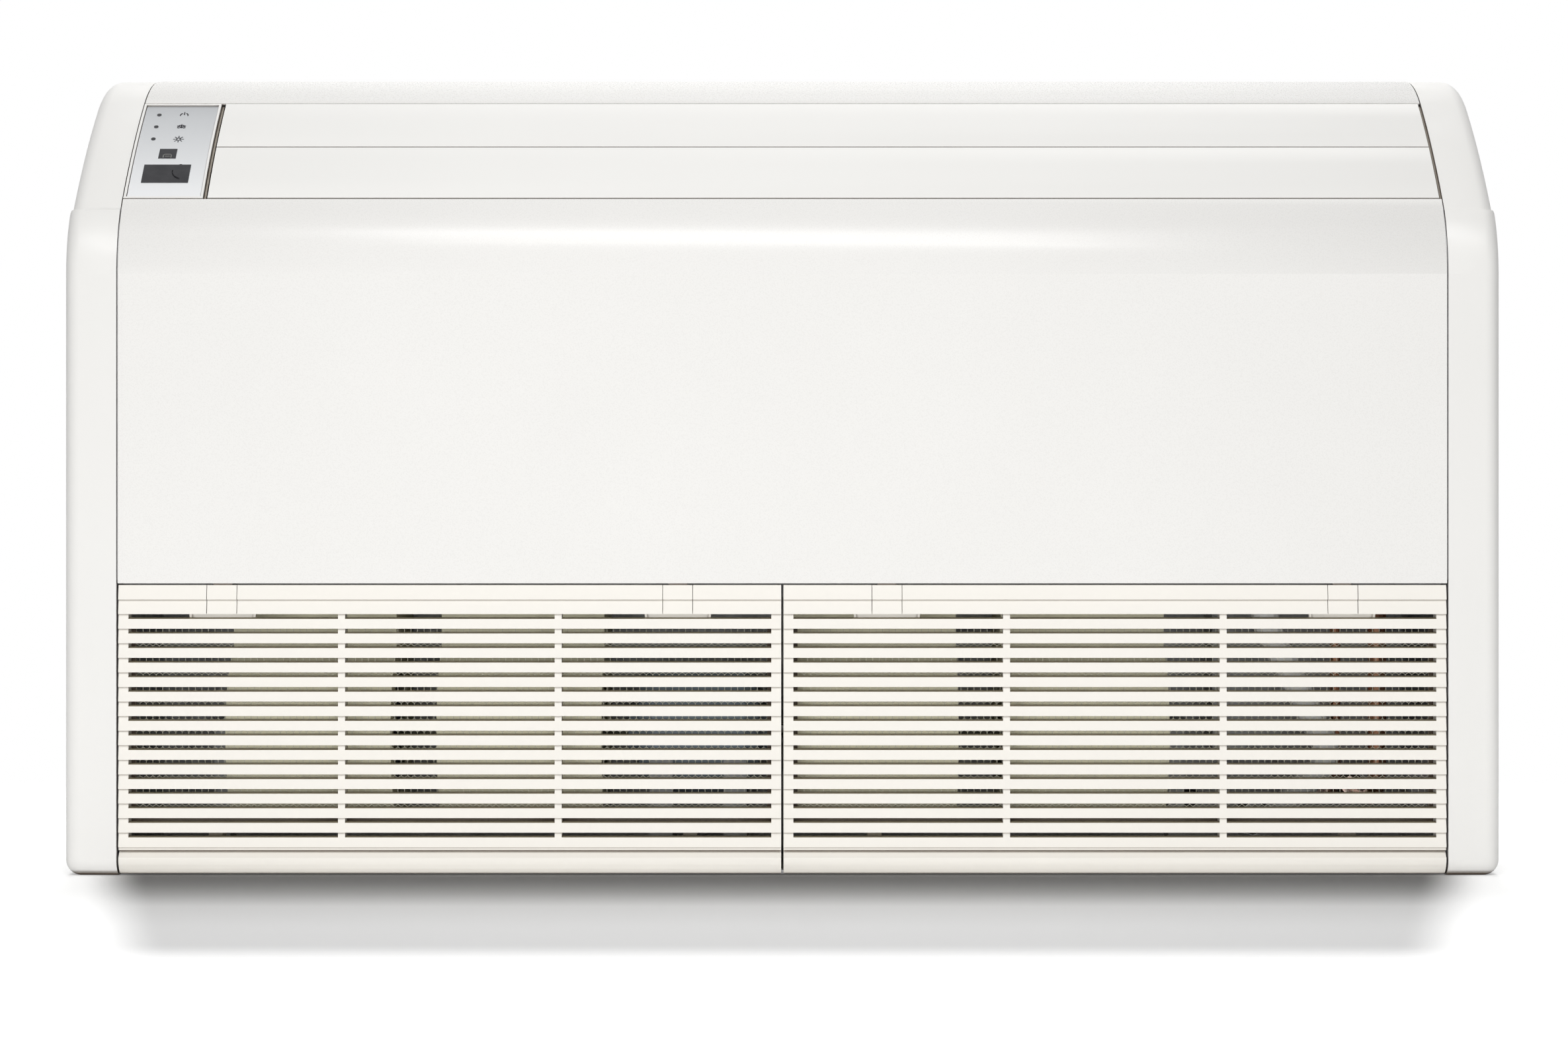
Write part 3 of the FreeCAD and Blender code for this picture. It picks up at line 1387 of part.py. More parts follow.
def build():
    """Every piece of the unit, by its node's name."""
    nodes = {
        "back_panel": back_panel(),
        "base_panel": base_panel(),
        "front_panel": front_panel(),
        "top_panel": top_panel(),
        "casing_screws": casing_screws(),
        "cable_grommet": cable_grommet(),
        "outlet_cheeks": outlet_cheeks(),
        "outlet_floor": outlet_wall(0, -1),
        "outlet_roof": outlet_wall(outlet_chord, 1),
        "lower_louvre": louvre(0),
        "upper_louvre": louvre(1),
        "louvre_crank": louvre_crank(),
        "louvre_link": louvre_link(),
        "louvre_motor": louvre_motor(),
        "vane_rod": vane_rod(),
        "display_bezel": display_bezel(),
        "display_plate": display_plate(),
        "display_lenses": display_lenses(),
        "display_board": display_board(),
        "fan_deck": fan_deck(),
        "fan_shaft": fan_shaft(),
        "fan_motor": fan_motor(),
        "motor_cradle": motor_cradle(),
        "shaft_bearings": shaft_bearings(),
        "coil_fins": coil_fins(),
        "coil_end_plates": coil_end_plates(),
        "coil_bends": coil_bends(),
        "gas_pipe": coil_pipe(gas_start, gas_pipe_x, gas_pipe_radius),
        "liquid_pipe": coil_pipe(liquid_start, liquid_pipe_x, tube_radius),
        "drain_pan": drain_pan(),
        "drain_hose": drain_hose(),
        "control_box": control_box(),
        "control_box_cover": control_box_cover(),
    }
    for index, x in enumerate(vane_places()):
        nodes["guide_vane_%d" % (index + 1)] = guide_vane(x)
    scrolls = [scroll(x) for x in scroll_places()]
    wheels = [blower_wheel(x) for x in scroll_places()]
    nodes["left_scrolls"] = Part.makeCompound(scrolls[:2])
    nodes["right_scrolls"] = Part.makeCompound(scrolls[2:])
    nodes["left_wheels"] = Part.makeCompound(wheels[:2])
    nodes["right_wheels"] = Part.makeCompound(wheels[2:])
    brackets = [hinge_bracket(x) for x in hinge_places()]
    nodes["grille_hinges"] = Part.makeCompound(brackets + [mirror(bracket) for bracket in brackets])
    handed = {
        "end_cap": end_cap(),
        "side_plate": side_plate(),
        "grille": grille_door(),
        "filter_frame": filter_frame(),
        "filter_net": filter_net(),
        "inner_latch": grille_latch(latch_places()[0]),
        "outer_latch": grille_latch(latch_places()[1]),
    }
    for name, shape in handed.items():
        nodes["right_" + name] = shape
        nodes["left_" + name] = mirror(shape)
    return nodes


os.makedirs("parts", exist_ok=True)
for node_name, node_shape in build().items():
    node_shape.exportStep(os.path.join("parts", node_name + ".step"))
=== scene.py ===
import json
import math

import bmesh
import bpy
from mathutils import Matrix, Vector
from mathutils.bvhtree import BVHTree


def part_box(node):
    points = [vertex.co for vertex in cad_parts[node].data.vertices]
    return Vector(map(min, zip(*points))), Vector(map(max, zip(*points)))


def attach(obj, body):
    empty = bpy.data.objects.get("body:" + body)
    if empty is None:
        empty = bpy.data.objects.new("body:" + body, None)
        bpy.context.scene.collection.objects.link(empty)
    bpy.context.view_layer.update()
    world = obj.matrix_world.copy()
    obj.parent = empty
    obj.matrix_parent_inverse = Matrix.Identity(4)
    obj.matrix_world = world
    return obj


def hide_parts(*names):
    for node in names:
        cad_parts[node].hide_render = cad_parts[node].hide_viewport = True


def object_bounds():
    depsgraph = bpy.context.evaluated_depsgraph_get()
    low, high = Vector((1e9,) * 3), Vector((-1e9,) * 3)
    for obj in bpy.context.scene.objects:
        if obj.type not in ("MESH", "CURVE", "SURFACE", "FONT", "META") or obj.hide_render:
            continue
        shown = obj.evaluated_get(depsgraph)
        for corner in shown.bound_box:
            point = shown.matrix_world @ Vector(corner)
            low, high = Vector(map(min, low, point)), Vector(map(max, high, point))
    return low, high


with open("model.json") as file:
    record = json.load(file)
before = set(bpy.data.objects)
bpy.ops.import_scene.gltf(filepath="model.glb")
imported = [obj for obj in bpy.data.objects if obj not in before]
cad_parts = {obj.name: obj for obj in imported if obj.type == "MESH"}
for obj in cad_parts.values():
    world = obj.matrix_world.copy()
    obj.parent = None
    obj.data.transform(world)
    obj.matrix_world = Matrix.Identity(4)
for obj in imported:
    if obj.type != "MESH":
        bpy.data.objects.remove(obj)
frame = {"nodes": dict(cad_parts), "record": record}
cad_low, cad_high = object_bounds()
nodes = frame["nodes"]


# Camera: level, on the middle line of the photograph. Places in metres, the photograph in pixels

PHOTO_WIDTH = 2371
PHOTO_FOCAL = 5170.0
SENSOR = 36.0
CAMERA_DISTANCE = 2.900
CAMERA_HEIGHT = 0.3035
CAMERA_X = 0.0014
CAMERA_SIGHT = 100.0
LEVEL = math.radians(90)


def add_camera():
    """The camera that sees the unit as the photograph does."""
    data = bpy.data.cameras.new("camera")
    data.sensor_width = SENSOR
    data.sensor_fit = "HORIZONTAL"
    data.lens = SENSOR * PHOTO_FOCAL / PHOTO_WIDTH
    data.clip_end = CAMERA_SIGHT
    camera = bpy.data.objects.new("camera", data)
    camera.location = (CAMERA_X, cad_low.y - CAMERA_DISTANCE, CAMERA_HEIGHT)
    camera.rotation_euler = (LEVEL, 0, 0)
    bpy.context.scene.collection.objects.link(camera)
    bpy.context.scene.camera = camera


# Building blocks of the node materials, most of which return the socket that holds their result

BLACK = (0, 0, 0)
PURE_WHITE = (1, 1, 1)


def new_material(name):
    """A node material with its tree and shader."""
    material = bpy.data.materials.new(name)
    material.use_nodes = True
    tree = material.node_tree
    return material, tree, tree.nodes["Principled BSDF"]


def link_place(tree, kind="Object"):
    """A place or direction in the piece's own space."""
    return tree.nodes.new("ShaderNodeTexCoord").outputs[kind]


def link_axis(tree, source, axis):
    """One coordinate of a place or direction."""
    split = tree.nodes.new("ShaderNodeSeparateXYZ")
    tree.links.new(source, split.inputs["Vector"])
    return split.outputs[axis]


def link_noise(tree, scale, detail, stretch=None):
    """A noise in the piece's own space, which can be drawn out along one axis."""
    place = link_place(tree)
    if stretch:
        mapping = tree.nodes.new("ShaderNodeMapping")
        mapping.inputs["Scale"].default_value = stretch
        tree.links.new(place, mapping.inputs["Vector"])
        place = mapping.outputs["Vector"]
    noise = tree.nodes.new("ShaderNodeTexNoise")
    noise.inputs["Scale"].default_value = scale
    noise.inputs["Detail"].default_value = detail
    tree.links.new(place, noise.inputs["Vector"])
    return noise.outputs["Fac"]


def link_ramp(tree, source, low, high, start=0.3, end=0.7):
    """A colour ramp between two colours."""
    ramp = tree.nodes.new("ShaderNodeValToRGB")
    ramp.color_ramp.elements[0].color = (*low, 1)
    ramp.color_ramp.elements[1].color = (*high, 1)
    ramp.color_ramp.elements[0].position = start
    ramp.color_ramp.elements[1].position = end
    tree.links.new(source, ramp.inputs["Fac"])
    return ramp.outputs["Color"]


def link_math(tree, operation, first, second):
    """One calculation with two sources, or with a source and a number."""
    both = tree.nodes.new("ShaderNodeMath")
    both.operation = operation
    for socket, source in zip(both.inputs, (first, second)):
        if isinstance(source, float):
            socket.default_value = source
        else:
            tree.links.new(source, socket)
    return both.outputs["Value"]


def link_fade(tree, source, near, far):
    """A smooth fall from one to zero between two distances."""
    fade = tree.nodes.new("ShaderNodeMapRange")
    fade.interpolation_type = "SMOOTHSTEP"
    fade.inputs["From Min"].default_value = near
    fade.inputs["From Max"].default_value = far
    fade.inputs["To Min"].default_value = 1.0
    fade.inputs["To Max"].default_value = 0.0
    tree.links.new(source, fade.inputs["Value"])
    return fade.outputs["Result"]


def link_tint(tree, source, tint):
    """One colour multiplied by another."""
    both = tree.nodes.new("ShaderNodeVectorMath")
    both.operation = "MULTIPLY"
    tree.links.new(source, both.inputs[0])
    tree.links.new(tint, both.inputs[1])
    return both.outputs["Vector"]


def link_roughness(tree, shader, source, low, high):
    """A roughness that varies a little over the surface."""
    spread = tree.nodes.new("ShaderNodeMapRange")
    spread.inputs["To Min"].default_value = low
    spread.inputs["To Max"].default_value = high
    tree.links.new(source, spread.inputs["Value"])
    tree.links.new(spread.outputs["Result"], shader.inputs["Roughness"])


def link_bump(tree, shader, source, strength, height):
    """A fine relief of the surface."""
    bump = tree.nodes.new("ShaderNodeBump")
    bump.inputs["Strength"].default_value = strength
    bump.inputs["Distance"].default_value = height
    tree.links.new(source, bump.inputs["Height"])
    tree.links.new(bump.outputs["Normal"], shader.inputs["Normal"])


# Painted shade in seams, gaps, the duct and on the floors of the air slots: a colour and, in metres, how
# near the surfaces stand

CREVICE_SHADE_SHARES = (0.18, 0.84)
CREVICE_SAMPLES = 8
SEAM_SHADE = ((0.16, 0.11, 0.08), 0.003)
GAP_SHADE = ((0.13, 0.09, 0.06), 0.006)
DUCT_SHADE = ((0.08, 0.055, 0.04), 0.030)
# The next four set the painted shade on the floors of the air slots: how far a face leans up, its tint,
# and its heights
THROAT_LEAN = (0.35, 0.55)
THROAT_SHADE_TINT = (0.30, 0.27, 0.20)
THROAT_LOW = 0.028
THROAT_DROP = 0.010


def link_crevice_shade(tree, source, tint, reach):
    """Tints a colour with painted shade in seams and gaps, where surfaces stand close together."""
    near = tree.nodes.new("ShaderNodeAmbientOcclusion")
    near.samples = CREVICE_SAMPLES
    near.inputs["Distance"].default_value = reach
    shade = link_ramp(tree, near.outputs["AO"], tint, PURE_WHITE, *CREVICE_SHADE_SHARES)
    return link_tint(tree, source, shade)


def link_throat_shade(tree, source, tint, low, high):
    """Paints shade on the floors of the air slots, which face up, between two heights."""
    facing = link_axis(tree, link_place(tree, "Normal"), "Z")
    upward = link_ramp(tree, facing, BLACK, PURE_WHITE, *THROAT_LEAN)
    height = link_axis(tree, link_place(tree), "Z")
    above = link_math(tree, "GREATER_THAN", height, low)
    below = link_math(tree, "LESS_THAN", height, high)
    within = link_math(tree, "MULTIPLY", above, below)
    share = link_math(tree, "MULTIPLY", upward, within)
    return link_tint(tree, source, link_ramp(tree, share, PURE_WHITE, tint, 0.0, 1.0))


# Finishes: the scale, detail and strength of their patterns, with heights in metres

CLOUD_SCALE = 6.0
CLOUD_DETAIL = 3.0
GRAIN_DETAIL = 2.0
GRAIN_STRENGTH = 0.06
GRAIN_HEIGHT = 0.0002
GLOSS_SPREAD = 0.05

METAL_DETAIL = 4.0
METAL_SHADE = 0.86
METAL_STRENGTH = 0.08
METAL_SPREAD = 0.08

SPANGLE_SCALE = 70.0
SPANGLE_DIM = (0.50, 0.51, 0.52)
SPANGLE_BRIGHT = (0.66, 0.67, 0.68)
SPANGLE_ROUGHNESS = (0.38, 0.52)
SPANGLE_METAL = 0.85

# The silver plate's colour darkens towards its top as painted shade
SILVER_LOW = (0.87, 0.88, 0.89)
SILVER_SHADED_TOP = (0.50, 0.515, 0.53)
SILVER_ROUGHNESS = (0.30, 0.46)
SILVER_METAL = 0.25
FLECK_SCALE = 2600.0
FLECK_DETAIL = 1.0
FLECK_STRENGTH = 0.04
FLECK_HEIGHT = 0.0001

HAZE_SCALE = 90.0
HAZE_DETAIL = 2.0
SMOKE_DARK = (0.026, 0.026, 0.030)
SMOKE_PALE = (0.038, 0.038, 0.042)
SMOKE_ROUGHNESS = (0.08, 0.16)
SMOKE_SPECULAR = 0.3


def moulded(name, colour, roughness, grain, specular=0.5, drift=0.012, crevice_shade=None, throat_shade=None):
    """Moulded plastic: an even colour with slight drift, a fine grain, soft gloss, and painted shade in
    seams and on the floors of air slots.
    """
    material, tree, shader = new_material(name)
    shade = tuple(max(0.0, value - drift) for value in colour)
    finish = link_ramp(tree, link_noise(tree, CLOUD_SCALE, CLOUD_DETAIL), shade, colour)
    if crevice_shade:
        finish = link_crevice_shade(tree, finish, *crevice_shade)
    if throat_shade:
        finish = link_throat_shade(tree, finish, *throat_shade)
    tree.links.new(finish, shader.inputs["Base Color"])
    fine = link_noise(tree, grain, GRAIN_DETAIL)
    link_roughness(tree, shader, fine, roughness - GLOSS_SPREAD, roughness + GLOSS_SPREAD)
    link_bump(tree, shader, fine, GRAIN_STRENGTH, GRAIN_HEIGHT)
    shader.inputs["Specular IOR Level"].default_value = specular
    return material


def metal(name, colour, roughness, grain, stretch=None):
    """Bare metal with a grain that can be drawn out along one axis."""
    material, tree, shader = new_material(name)
    noise = link_noise(tree, grain, METAL_DETAIL, stretch)
    shade = tuple(value * METAL_SHADE for value in colour)
    tree.links.new(link_ramp(tree, noise, shade, colour), shader.inputs["Base Color"])
    link_roughness(tree, shader, noise, roughness - METAL_SPREAD, roughness + METAL_SPREAD)
    link_bump(tree, shader, noise, METAL_STRENGTH, GRAIN_HEIGHT)
    shader.inputs["Metallic"].default_value = 1.0
    return material


def spangled_sheet(name):
    """Galvanised steel sheet with its pale crystal pattern."""
    material, tree, shader = new_material(name)
    cells = tree.nodes.new("ShaderNodeTexVoronoi")
    cells.inputs["Scale"].default_value = SPANGLE_SCALE
    tree.links.new(link_place(tree), cells.inputs["Vector"])
    finish = link_ramp(tree, cells.outputs["Color"], SPANGLE_DIM, SPANGLE_BRIGHT, 0.0, 1.0)
    tree.links.new(finish, shader.inputs["Base Color"])
    link_roughness(tree, shader, cells.outputs["Distance"], *SPANGLE_ROUGHNESS)
    shader.inputs["Metallic"].default_value = SPANGLE_METAL
    return material


def silver_plate(name, low, high):
    """Silver-painted plate with painted shading, paler towards its lower edge and darker towards its top,
    with a fine metallic fleck.
    """
    material, tree, shader = new_material(name)
    span = tree.nodes.new("ShaderNodeMapRange")
    span.inputs["From Min"].default_value = low
    span.inputs["From Max"].default_value = high
    tree.links.new(link_axis(tree, link_place(tree), "Z"), span.inputs["Value"])
    finish = link_ramp(tree, span.outputs["Result"], SILVER_LOW, SILVER_SHADED_TOP, 0.0, 1.0)
    tree.links.new(finish, shader.inputs["Base Color"])
    fleck = link_noise(tree, FLECK_SCALE, FLECK_DETAIL)
    link_roughness(tree, shader, fleck, *SILVER_ROUGHNESS)
    link_bump(tree, shader, fleck, FLECK_STRENGTH, FLECK_HEIGHT)
    shader.inputs["Metallic"].default_value = SILVER_METAL
    return material


def smoked(name):
    """Smoked glossy lens plastic."""
    material, tree, shader = new_material(name)
    haze = link_noise(tree, HAZE_SCALE, HAZE_DETAIL)
    tree.links.new(link_ramp(tree, haze, SMOKE_DARK, SMOKE_PALE), shader.inputs["Base Color"])
    link_roughness(tree, shader, haze, *SMOKE_ROUGHNESS)
    shader.inputs["Specular IOR Level"].default_value = SMOKE_SPECULAR
    return material


# The finish of each material slot: colour, roughness and scale of the grain

WHITE = (0.885, 0.876, 0.852)
# The louvres' white is the panel's white made lighter, as painted light
LIT_LOUVRE_WHITE = (0.935, 0.926, 0.900)
# The grille's warm white is its own tone, made lighter as painted light against the shade on the grille
WARM_WHITE_LIT = (0.930, 0.900, 0.840)
DUCT_BEIGE = (0.55, 0.50, 0.43)
BOARD_GREEN = (0.05, 0.20, 0.10)
STEEL = (0.60, 0.60, 0.60)
MOTOR_GREY = (0.26, 0.31, 0.36)
# The scrolls' cream is their own colour, made lighter as painted light for the shade inside the unit
LIT_CREAM = (0.95, 0.91, 0.70)
DARK_GREY = (0.10, 0.105, 0.11)
ALUMINIUM = (0.50, 0.51, 0.52)
COPPER = (0.80, 0.42, 0.27)
FOAM = (0.84, 0.84, 0.82)
HOSE_WHITE = (0.82, 0.82, 0.80)
NET_BEIGE = (0.74, 0.72, 0.60)
RUBBER = (0.03, 0.03, 0.03)
ALONG_SHAFT = (0.05, 1, 1)
ACROSS_FINS = (40, 0.2, 0.2)

plate_low, plate_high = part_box("display_plate")
# Heights between which the grille's slot floors get painted shade
throat_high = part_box("left_grille")[1].z - THROAT_DROP
throat_shade = (THROAT_SHADE_TINT, THROAT_LOW, throat_high)

# Painted shade in seams, gaps and the duct comes from the crevice tints below, and on the grille's slot
# floors from the throat tint
looks = {
    "panel_white": moulded("panel_white", WHITE, 0.28, 900.0, crevice_shade=GAP_SHADE),
    "cap_white": moulded("cap_white", WHITE, 0.36, 900.0, crevice_shade=GAP_SHADE),
    "grille_white": moulded("grille_white", WARM_WHITE_LIT, 0.46, 700.0, crevice_shade=SEAM_SHADE, throat_shade=throat_shade),
    "louvre_white": moulded("louvre_white", LIT_LOUVRE_WHITE, 0.38, 900.0, crevice_shade=GAP_SHADE),
    "inner_plastic": moulded("inner_plastic", DUCT_BEIGE, 0.55, 500.0, crevice_shade=DUCT_SHADE),
    "silver": silver_plate("silver", plate_low.z, plate_high.z),
    "dark_lens": smoked("dark_lens"),
    "board_green": moulded("board_green", BOARD_GREEN, 0.45, 300.0),
    "steel_sheet": spangled_sheet("steel_sheet"),
    "shaft_steel": metal("shaft_steel", STEEL, 0.30, 400.0, ALONG_SHAFT),
    "motor_grey": moulded("motor_grey", MOTOR_GREY, 0.40, 260.0),
    "scroll_cream": moulded("scroll_cream", LIT_CREAM, 0.60, 300.0, drift=0.02),
    "wheel_grey": moulded("wheel_grey", DARK_GREY, 0.55, 400.0),
    "fin_aluminium": metal("fin_aluminium", ALUMINIUM, 0.45, 30.0, ACROSS_FINS),
    "copper": metal("copper", COPPER, 0.28, 120.0),
    "pan_foam": moulded("pan_foam", FOAM, 0.70, 160.0, drift=0.03),
    "hose_white": moulded("hose_white", HOSE_WHITE, 0.60, 200.0, drift=0.04),
    "net_dark": moulded("net_dark", NET_BEIGE, 0.60, 400.0),
    "rubber_black": moulded("rubber_black", RUBBER, 0.70, 300.0, drift=0.008),
}


# Edge rounding on the moulded pieces, in metres

ROUND_PANEL = 0.0007
ROUND_FINE = 0.0003
ROUND_STEPS = 2
EDGE_ANGLE = math.radians(32)
WELD_REACH = 0.00001
round_by_slot = {
    "panel_white": ROUND_PANEL,
    "cap_white": ROUND_FINE,
    "grille_white": ROUND_FINE,
    "louvre_white": ROUND_PANEL,
    "inner_plastic": ROUND_FINE,
}


def round_edges(piece, width):
    """Softly rounded edges, as on a moulding."""
    weld = piece.modifiers.new("weld", "WELD")
    weld.merge_threshold = WELD_REACH
    bevel = piece.modifiers.new("edges", "BEVEL")
    bevel.width = width
    bevel.segments = ROUND_STEPS
    bevel.limit_method = "ANGLE"
    bevel.angle_limit = EDGE_ANGLE
    bevel.use_clamp_overlap = True
    bevel.harden_normals = True


def dress(node, slot):
    """Gives a piece its finish and, on moulded plastic, softly rounded edges."""
    piece = nodes[node]
    piece.data.materials.clear()
    piece.data.materials.append(looks[slot])
    if slot in round_by_slot:
        round_edges(piece, round_by_slot[slot])


for entry in frame["record"]["subparts"]:
    dress(entry["node"], entry["material_slot"])


def new_piece(name, mesh, body, slot, material=None):
    """A mesh object that rides on a body and takes a finish."""
    piece = bpy.data.objects.new(name, mesh)
    bpy.context.scene.collection.objects.link(piece)
    mesh.materials.append(material or looks[slot])
    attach(piece, body)
    return piece


# Printed signs beside the indicators, and what shows in the two windows, in metres and degrees

SIGN_X = -0.527
SIGN_RISES = (0.1168, 0.0978, 0.0794)
SIGN_RADIUS = 0.0039
STROKE = 0.0009
PRINT_LIFT = 0.00008
CAST_HEIGHT = 0.05
RECEIVER_X = -0.5335
RECEIVER_RISE = 0.0556
DIAL_X = -0.5160
DIAL_RISE = 0.0340
DIAL_RADIUS = 0.0105
DIAL_TURN = (110, 250)
STANDBY_TURN = (125, 415)
BARB_LEAN = 55
CURVE_STEPS = 20
SUN_STEPS = 14
INK_BLACK = (0.020, 0.020, 0.026)
WINDOW_BLACK = (0.006, 0.006, 0.008)
RECEIVER_GREY = (0.20, 0.20, 0.19)


def arc(radius, start, end, steps):
    """Points of an arc, with its angles in degrees."""
    turns = [math.radians(start + (end - start) * step / steps) for step in range(steps + 1)]
    return [(radius * math.cos(turn), radius * math.sin(turn)) for turn in turns]


def joined(points):
    """Strokes between the points that follow each other."""
    return list(zip(points, points[1:]))


def ray(turn, near, far):
    """A stroke that points away from the middle."""
    way = (math.cos(math.radians(turn)), math.sin(math.radians(turn)))
    return (tuple(near * part for part in way), tuple(far * part for part in way))


def standby_sign():
    """An open ring with a bar at its gap."""
    ring_radius = 0.85 * SIGN_RADIUS
    bar_foot = 0.2 * SIGN_RADIUS
    bar_top = 1.1 * SIGN_RADIUS
    ring = joined(arc(ring_radius, *STANDBY_TURN, CURVE_STEPS))
    return ring + [ray(90, bar_foot, bar_top)]


def snowflake_sign():
    """Six arms with barbs."""
    knee_radius = 0.55 * SIGN_RADIUS
    barb_length = 0.4 * SIGN_RADIUS
    strokes = []
    for turn in range(30, 390, 60):
        strokes.append(ray(turn, 0, SIGN_RADIUS))
        knee = ray(turn, 0, knee_radius)[1]
        for lean in (-BARB_LEAN, BARB_LEAN):
            barb = ray(turn + lean, 0, barb_length)[1]
            tip = tuple(part + step for part, step in zip(knee, barb))
            strokes.append((knee, tip))
    return strokes


def sun_sign():
    """A ring with rays."""
    ring_radius = 0.42 * SIGN_RADIUS
    ray_foot = 0.7 * SIGN_RADIUS
    ray_tip = 1.1 * SIGN_RADIUS
    rays = [ray(turn, ray_foot, ray_tip) for turn in range(0, 360, 45)]
    return joined(arc(ring_radius, 0, 360, SUN_STEPS)) + rays


def receiver_shape():
    """The domed outline of the remote control's receiver, with its bright slot."""
    half_width = 0.0034
    half_top = 0.0024
    foot = -0.0028
    shoulder = 0.0006
    top = 0.0016
    half_slot = 0.0016
    slot_rise = -0.0012
    left = [(-half_width, foot), (-half_width, shoulder), (-half_top, top)]
    right = [(half_top, top), (half_width, shoulder), (half_width, foot)]
    slot = ((-half_slot, slot_rise), (half_slot, slot_rise))
    return joined(left + right) + [slot]


class Slope:
    """The leaning face of the display, measured across it and up it from the plate's lower edge."""

    def __init__(self, node):
        piece = nodes[node]
        corners = [piece.matrix_world @ vertex.co for vertex in piece.data.vertices]
        self.tree = BVHTree.FromPolygons(corners, [face.vertices[:] for face in piece.data.polygons])
        self.foot = Vector((0, plate_low.y, plate_low.z))
        self.up = (Vector((0, plate_high.y, plate_high.z)) - self.foot).normalized()
        self.out = Vector((1, 0, 0)).cross(self.up)

    def spot(self, x, rise):
        """The place on the face, a print's thickness above it."""
        start = self.foot + Vector((x, 0, 0)) + self.up * rise + self.out * CAST_HEIGHT
        return self.tree.ray_cast(start, -self.out)[0] + self.out * PRINT_LIFT

    def stroke(self, middle, first, last):
        """The four corners of a flat stroke between two points round a middle."""
        start, end = (middle + Vector((x, 0, 0)) + self.up * rise for x, rise in (first, last))
        along = (end - start).normalized() * STROKE / 2
        aside = along.cross(self.out)
        return [start - along - aside, end + along - aside, end + along + aside, start - along + aside]


def print_strokes(name, face, x, rise, strokes, material):
    """Flat strokes laid on the display's face."""
    middle = face.spot(x, rise)
    corners = []
    for first, last in strokes:
        corners += face.stroke(middle, first, last)
    mesh = bpy.data.meshes.new(name)
    mesh.from_pydata(corners, [], [range(index, index + 4) for index in range(0, len(corners), 4)])
    new_piece(name, mesh, "cabinet", "dark_lens", material)


ink = moulded("ink", INK_BLACK, 0.5, 900.0, drift=0.004)
dim_ink = moulded("dim_ink", WINDOW_BLACK, 0.4, 900.0, specular=0.2, drift=0.002)
pale_ink = moulded("pale_ink", RECEIVER_GREY, 0.5, 900.0)
plate_face = Slope("display_plate")
lens_face = Slope("display_lenses")
signs = {
    "standby_sign": standby_sign(),
    "snowflake_sign": snowflake_sign(),
    "sun_sign": sun_sign(),
}
for rise, (name, strokes) in zip(SIGN_RISES, signs.items()):
    print_strokes(name, plate_face, SIGN_X, rise, strokes, ink)
print_strokes("receiver_shape", lens_face, RECEIVER_X, RECEIVER_RISE, receiver_shape(), pale_ink)
dial = joined(arc(DIAL_RADIUS, *DIAL_TURN, CURVE_STEPS))
print_strokes("dial_line", lens_face, DIAL_X, DIAL_RISE, dial, dim_ink)


# Filter nets of six-sided gaps: the gap in metres, the rows' steps in radii, their shift in gaps

NET_CELL = 0.0056
NET_BAR_SHARE = 0.07
ROW_STEP = 1.5
ROW_END = 0.5
ROW_SHIFT = 0.5
SPOKE_TURNS = [math.radians(60 * index + 30) for index in range(6)]
SPOKES = [(math.cos(turn) / math.sqrt(3), math.sin(turn)) for turn in SPOKE_TURNS]


def hexagon(x, z, step_x, step_z, share):
    """The six corners round a middle, drawn in by a share."""
    return [(x + step_x * along * share, z + step_z * up * share) for along, up in SPOKES]


def add_gap(grid, corner, rim, gap, low, high):
    """The faces round one gap: in front, behind and inside it."""
    front = [corner(x, low.y, z) for x, z in rim]
    back = [corner(x, high.y, z) for x, z in rim]
    gap_front = [grid.verts.new((x, low.y, z)) for x, z in gap]
    gap_back = [grid.verts.new((x, high.y, z)) for x, z in gap]
    for index in range(6):
        after = (index + 1) % 6
        grid.faces.new((front[index], front[after], gap_front[after], gap_front[index]))
        grid.faces.new((back[after], back[index], gap_back[index], gap_back[after]))
        grid.faces.new((gap_front[index], gap_front[after], gap_back[after], gap_back[index]))


def honeycomb(name, low, high):
    """A flat net of six-sided gaps that fills a box, with closed walls round each gap."""
    size = high - low
    columns = round(size.x / NET_CELL)
    radius = NET_CELL / math.sqrt(3)
    rows = round((size.z / radius - ROW_END) / ROW_STEP)
    step_x = size.x / (columns + ROW_SHIFT)
    step_z = size.z / (ROW_STEP * rows + ROW_END)
    grid = bmesh.new()
    shared = {}

    def corner(x, y, z):
        """A corner that neighbouring gaps share."""
        key = (round(x, 6), y, round(z, 6))
        if key not in shared:
            shared[key] = grid.verts.new((x, y, z))
        return shared[key]

    for row in range(rows):
        for column in range(columns):
            x = low.x + step_x * (column + 0.5 + ROW_SHIFT * (row % 2))
            z = low.z + step_z * (1 + ROW_STEP * row)
            rim = hexagon(x, z, step_x, step_z, 1)
            gap = hexagon(x, z, step_x, step_z, 1 - NET_BAR_SHARE)
            add_gap(grid, corner, rim, gap, low, high)
    rim_edges = [edge for edge in grid.edges if edge.is_boundary]
    bmesh.ops.bridge_loops(grid, edges=rim_edges)
    bmesh.ops.recalc_face_normals(grid, faces=grid.faces)
    mesh = bpy.data.meshes.new(name)
    grid.to_mesh(mesh)
    grid.free()
    return mesh


for side in ("left", "right"):
    node = side + "_filter_net"
    name = side + "_net_mesh"
    net = new_piece(name, honeycomb(name, *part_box(node)), side + "_door", "net_dark")
    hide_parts(node)


# Room: a white world, a white floor that keeps the lamps' shadow and carries a painted shadow in front of
# the unit, a dark card of painted shade behind it, and soft lamps, in metres

FILL = 0.14
FLOOR_WHITE = (0.97, 0.97, 0.97)
FLOOR_LIFT = 0.36
FLOOR_NEAR = 0.8
FLOOR_FAR = 1.5
FLOOR_MIDDLE = -0.25

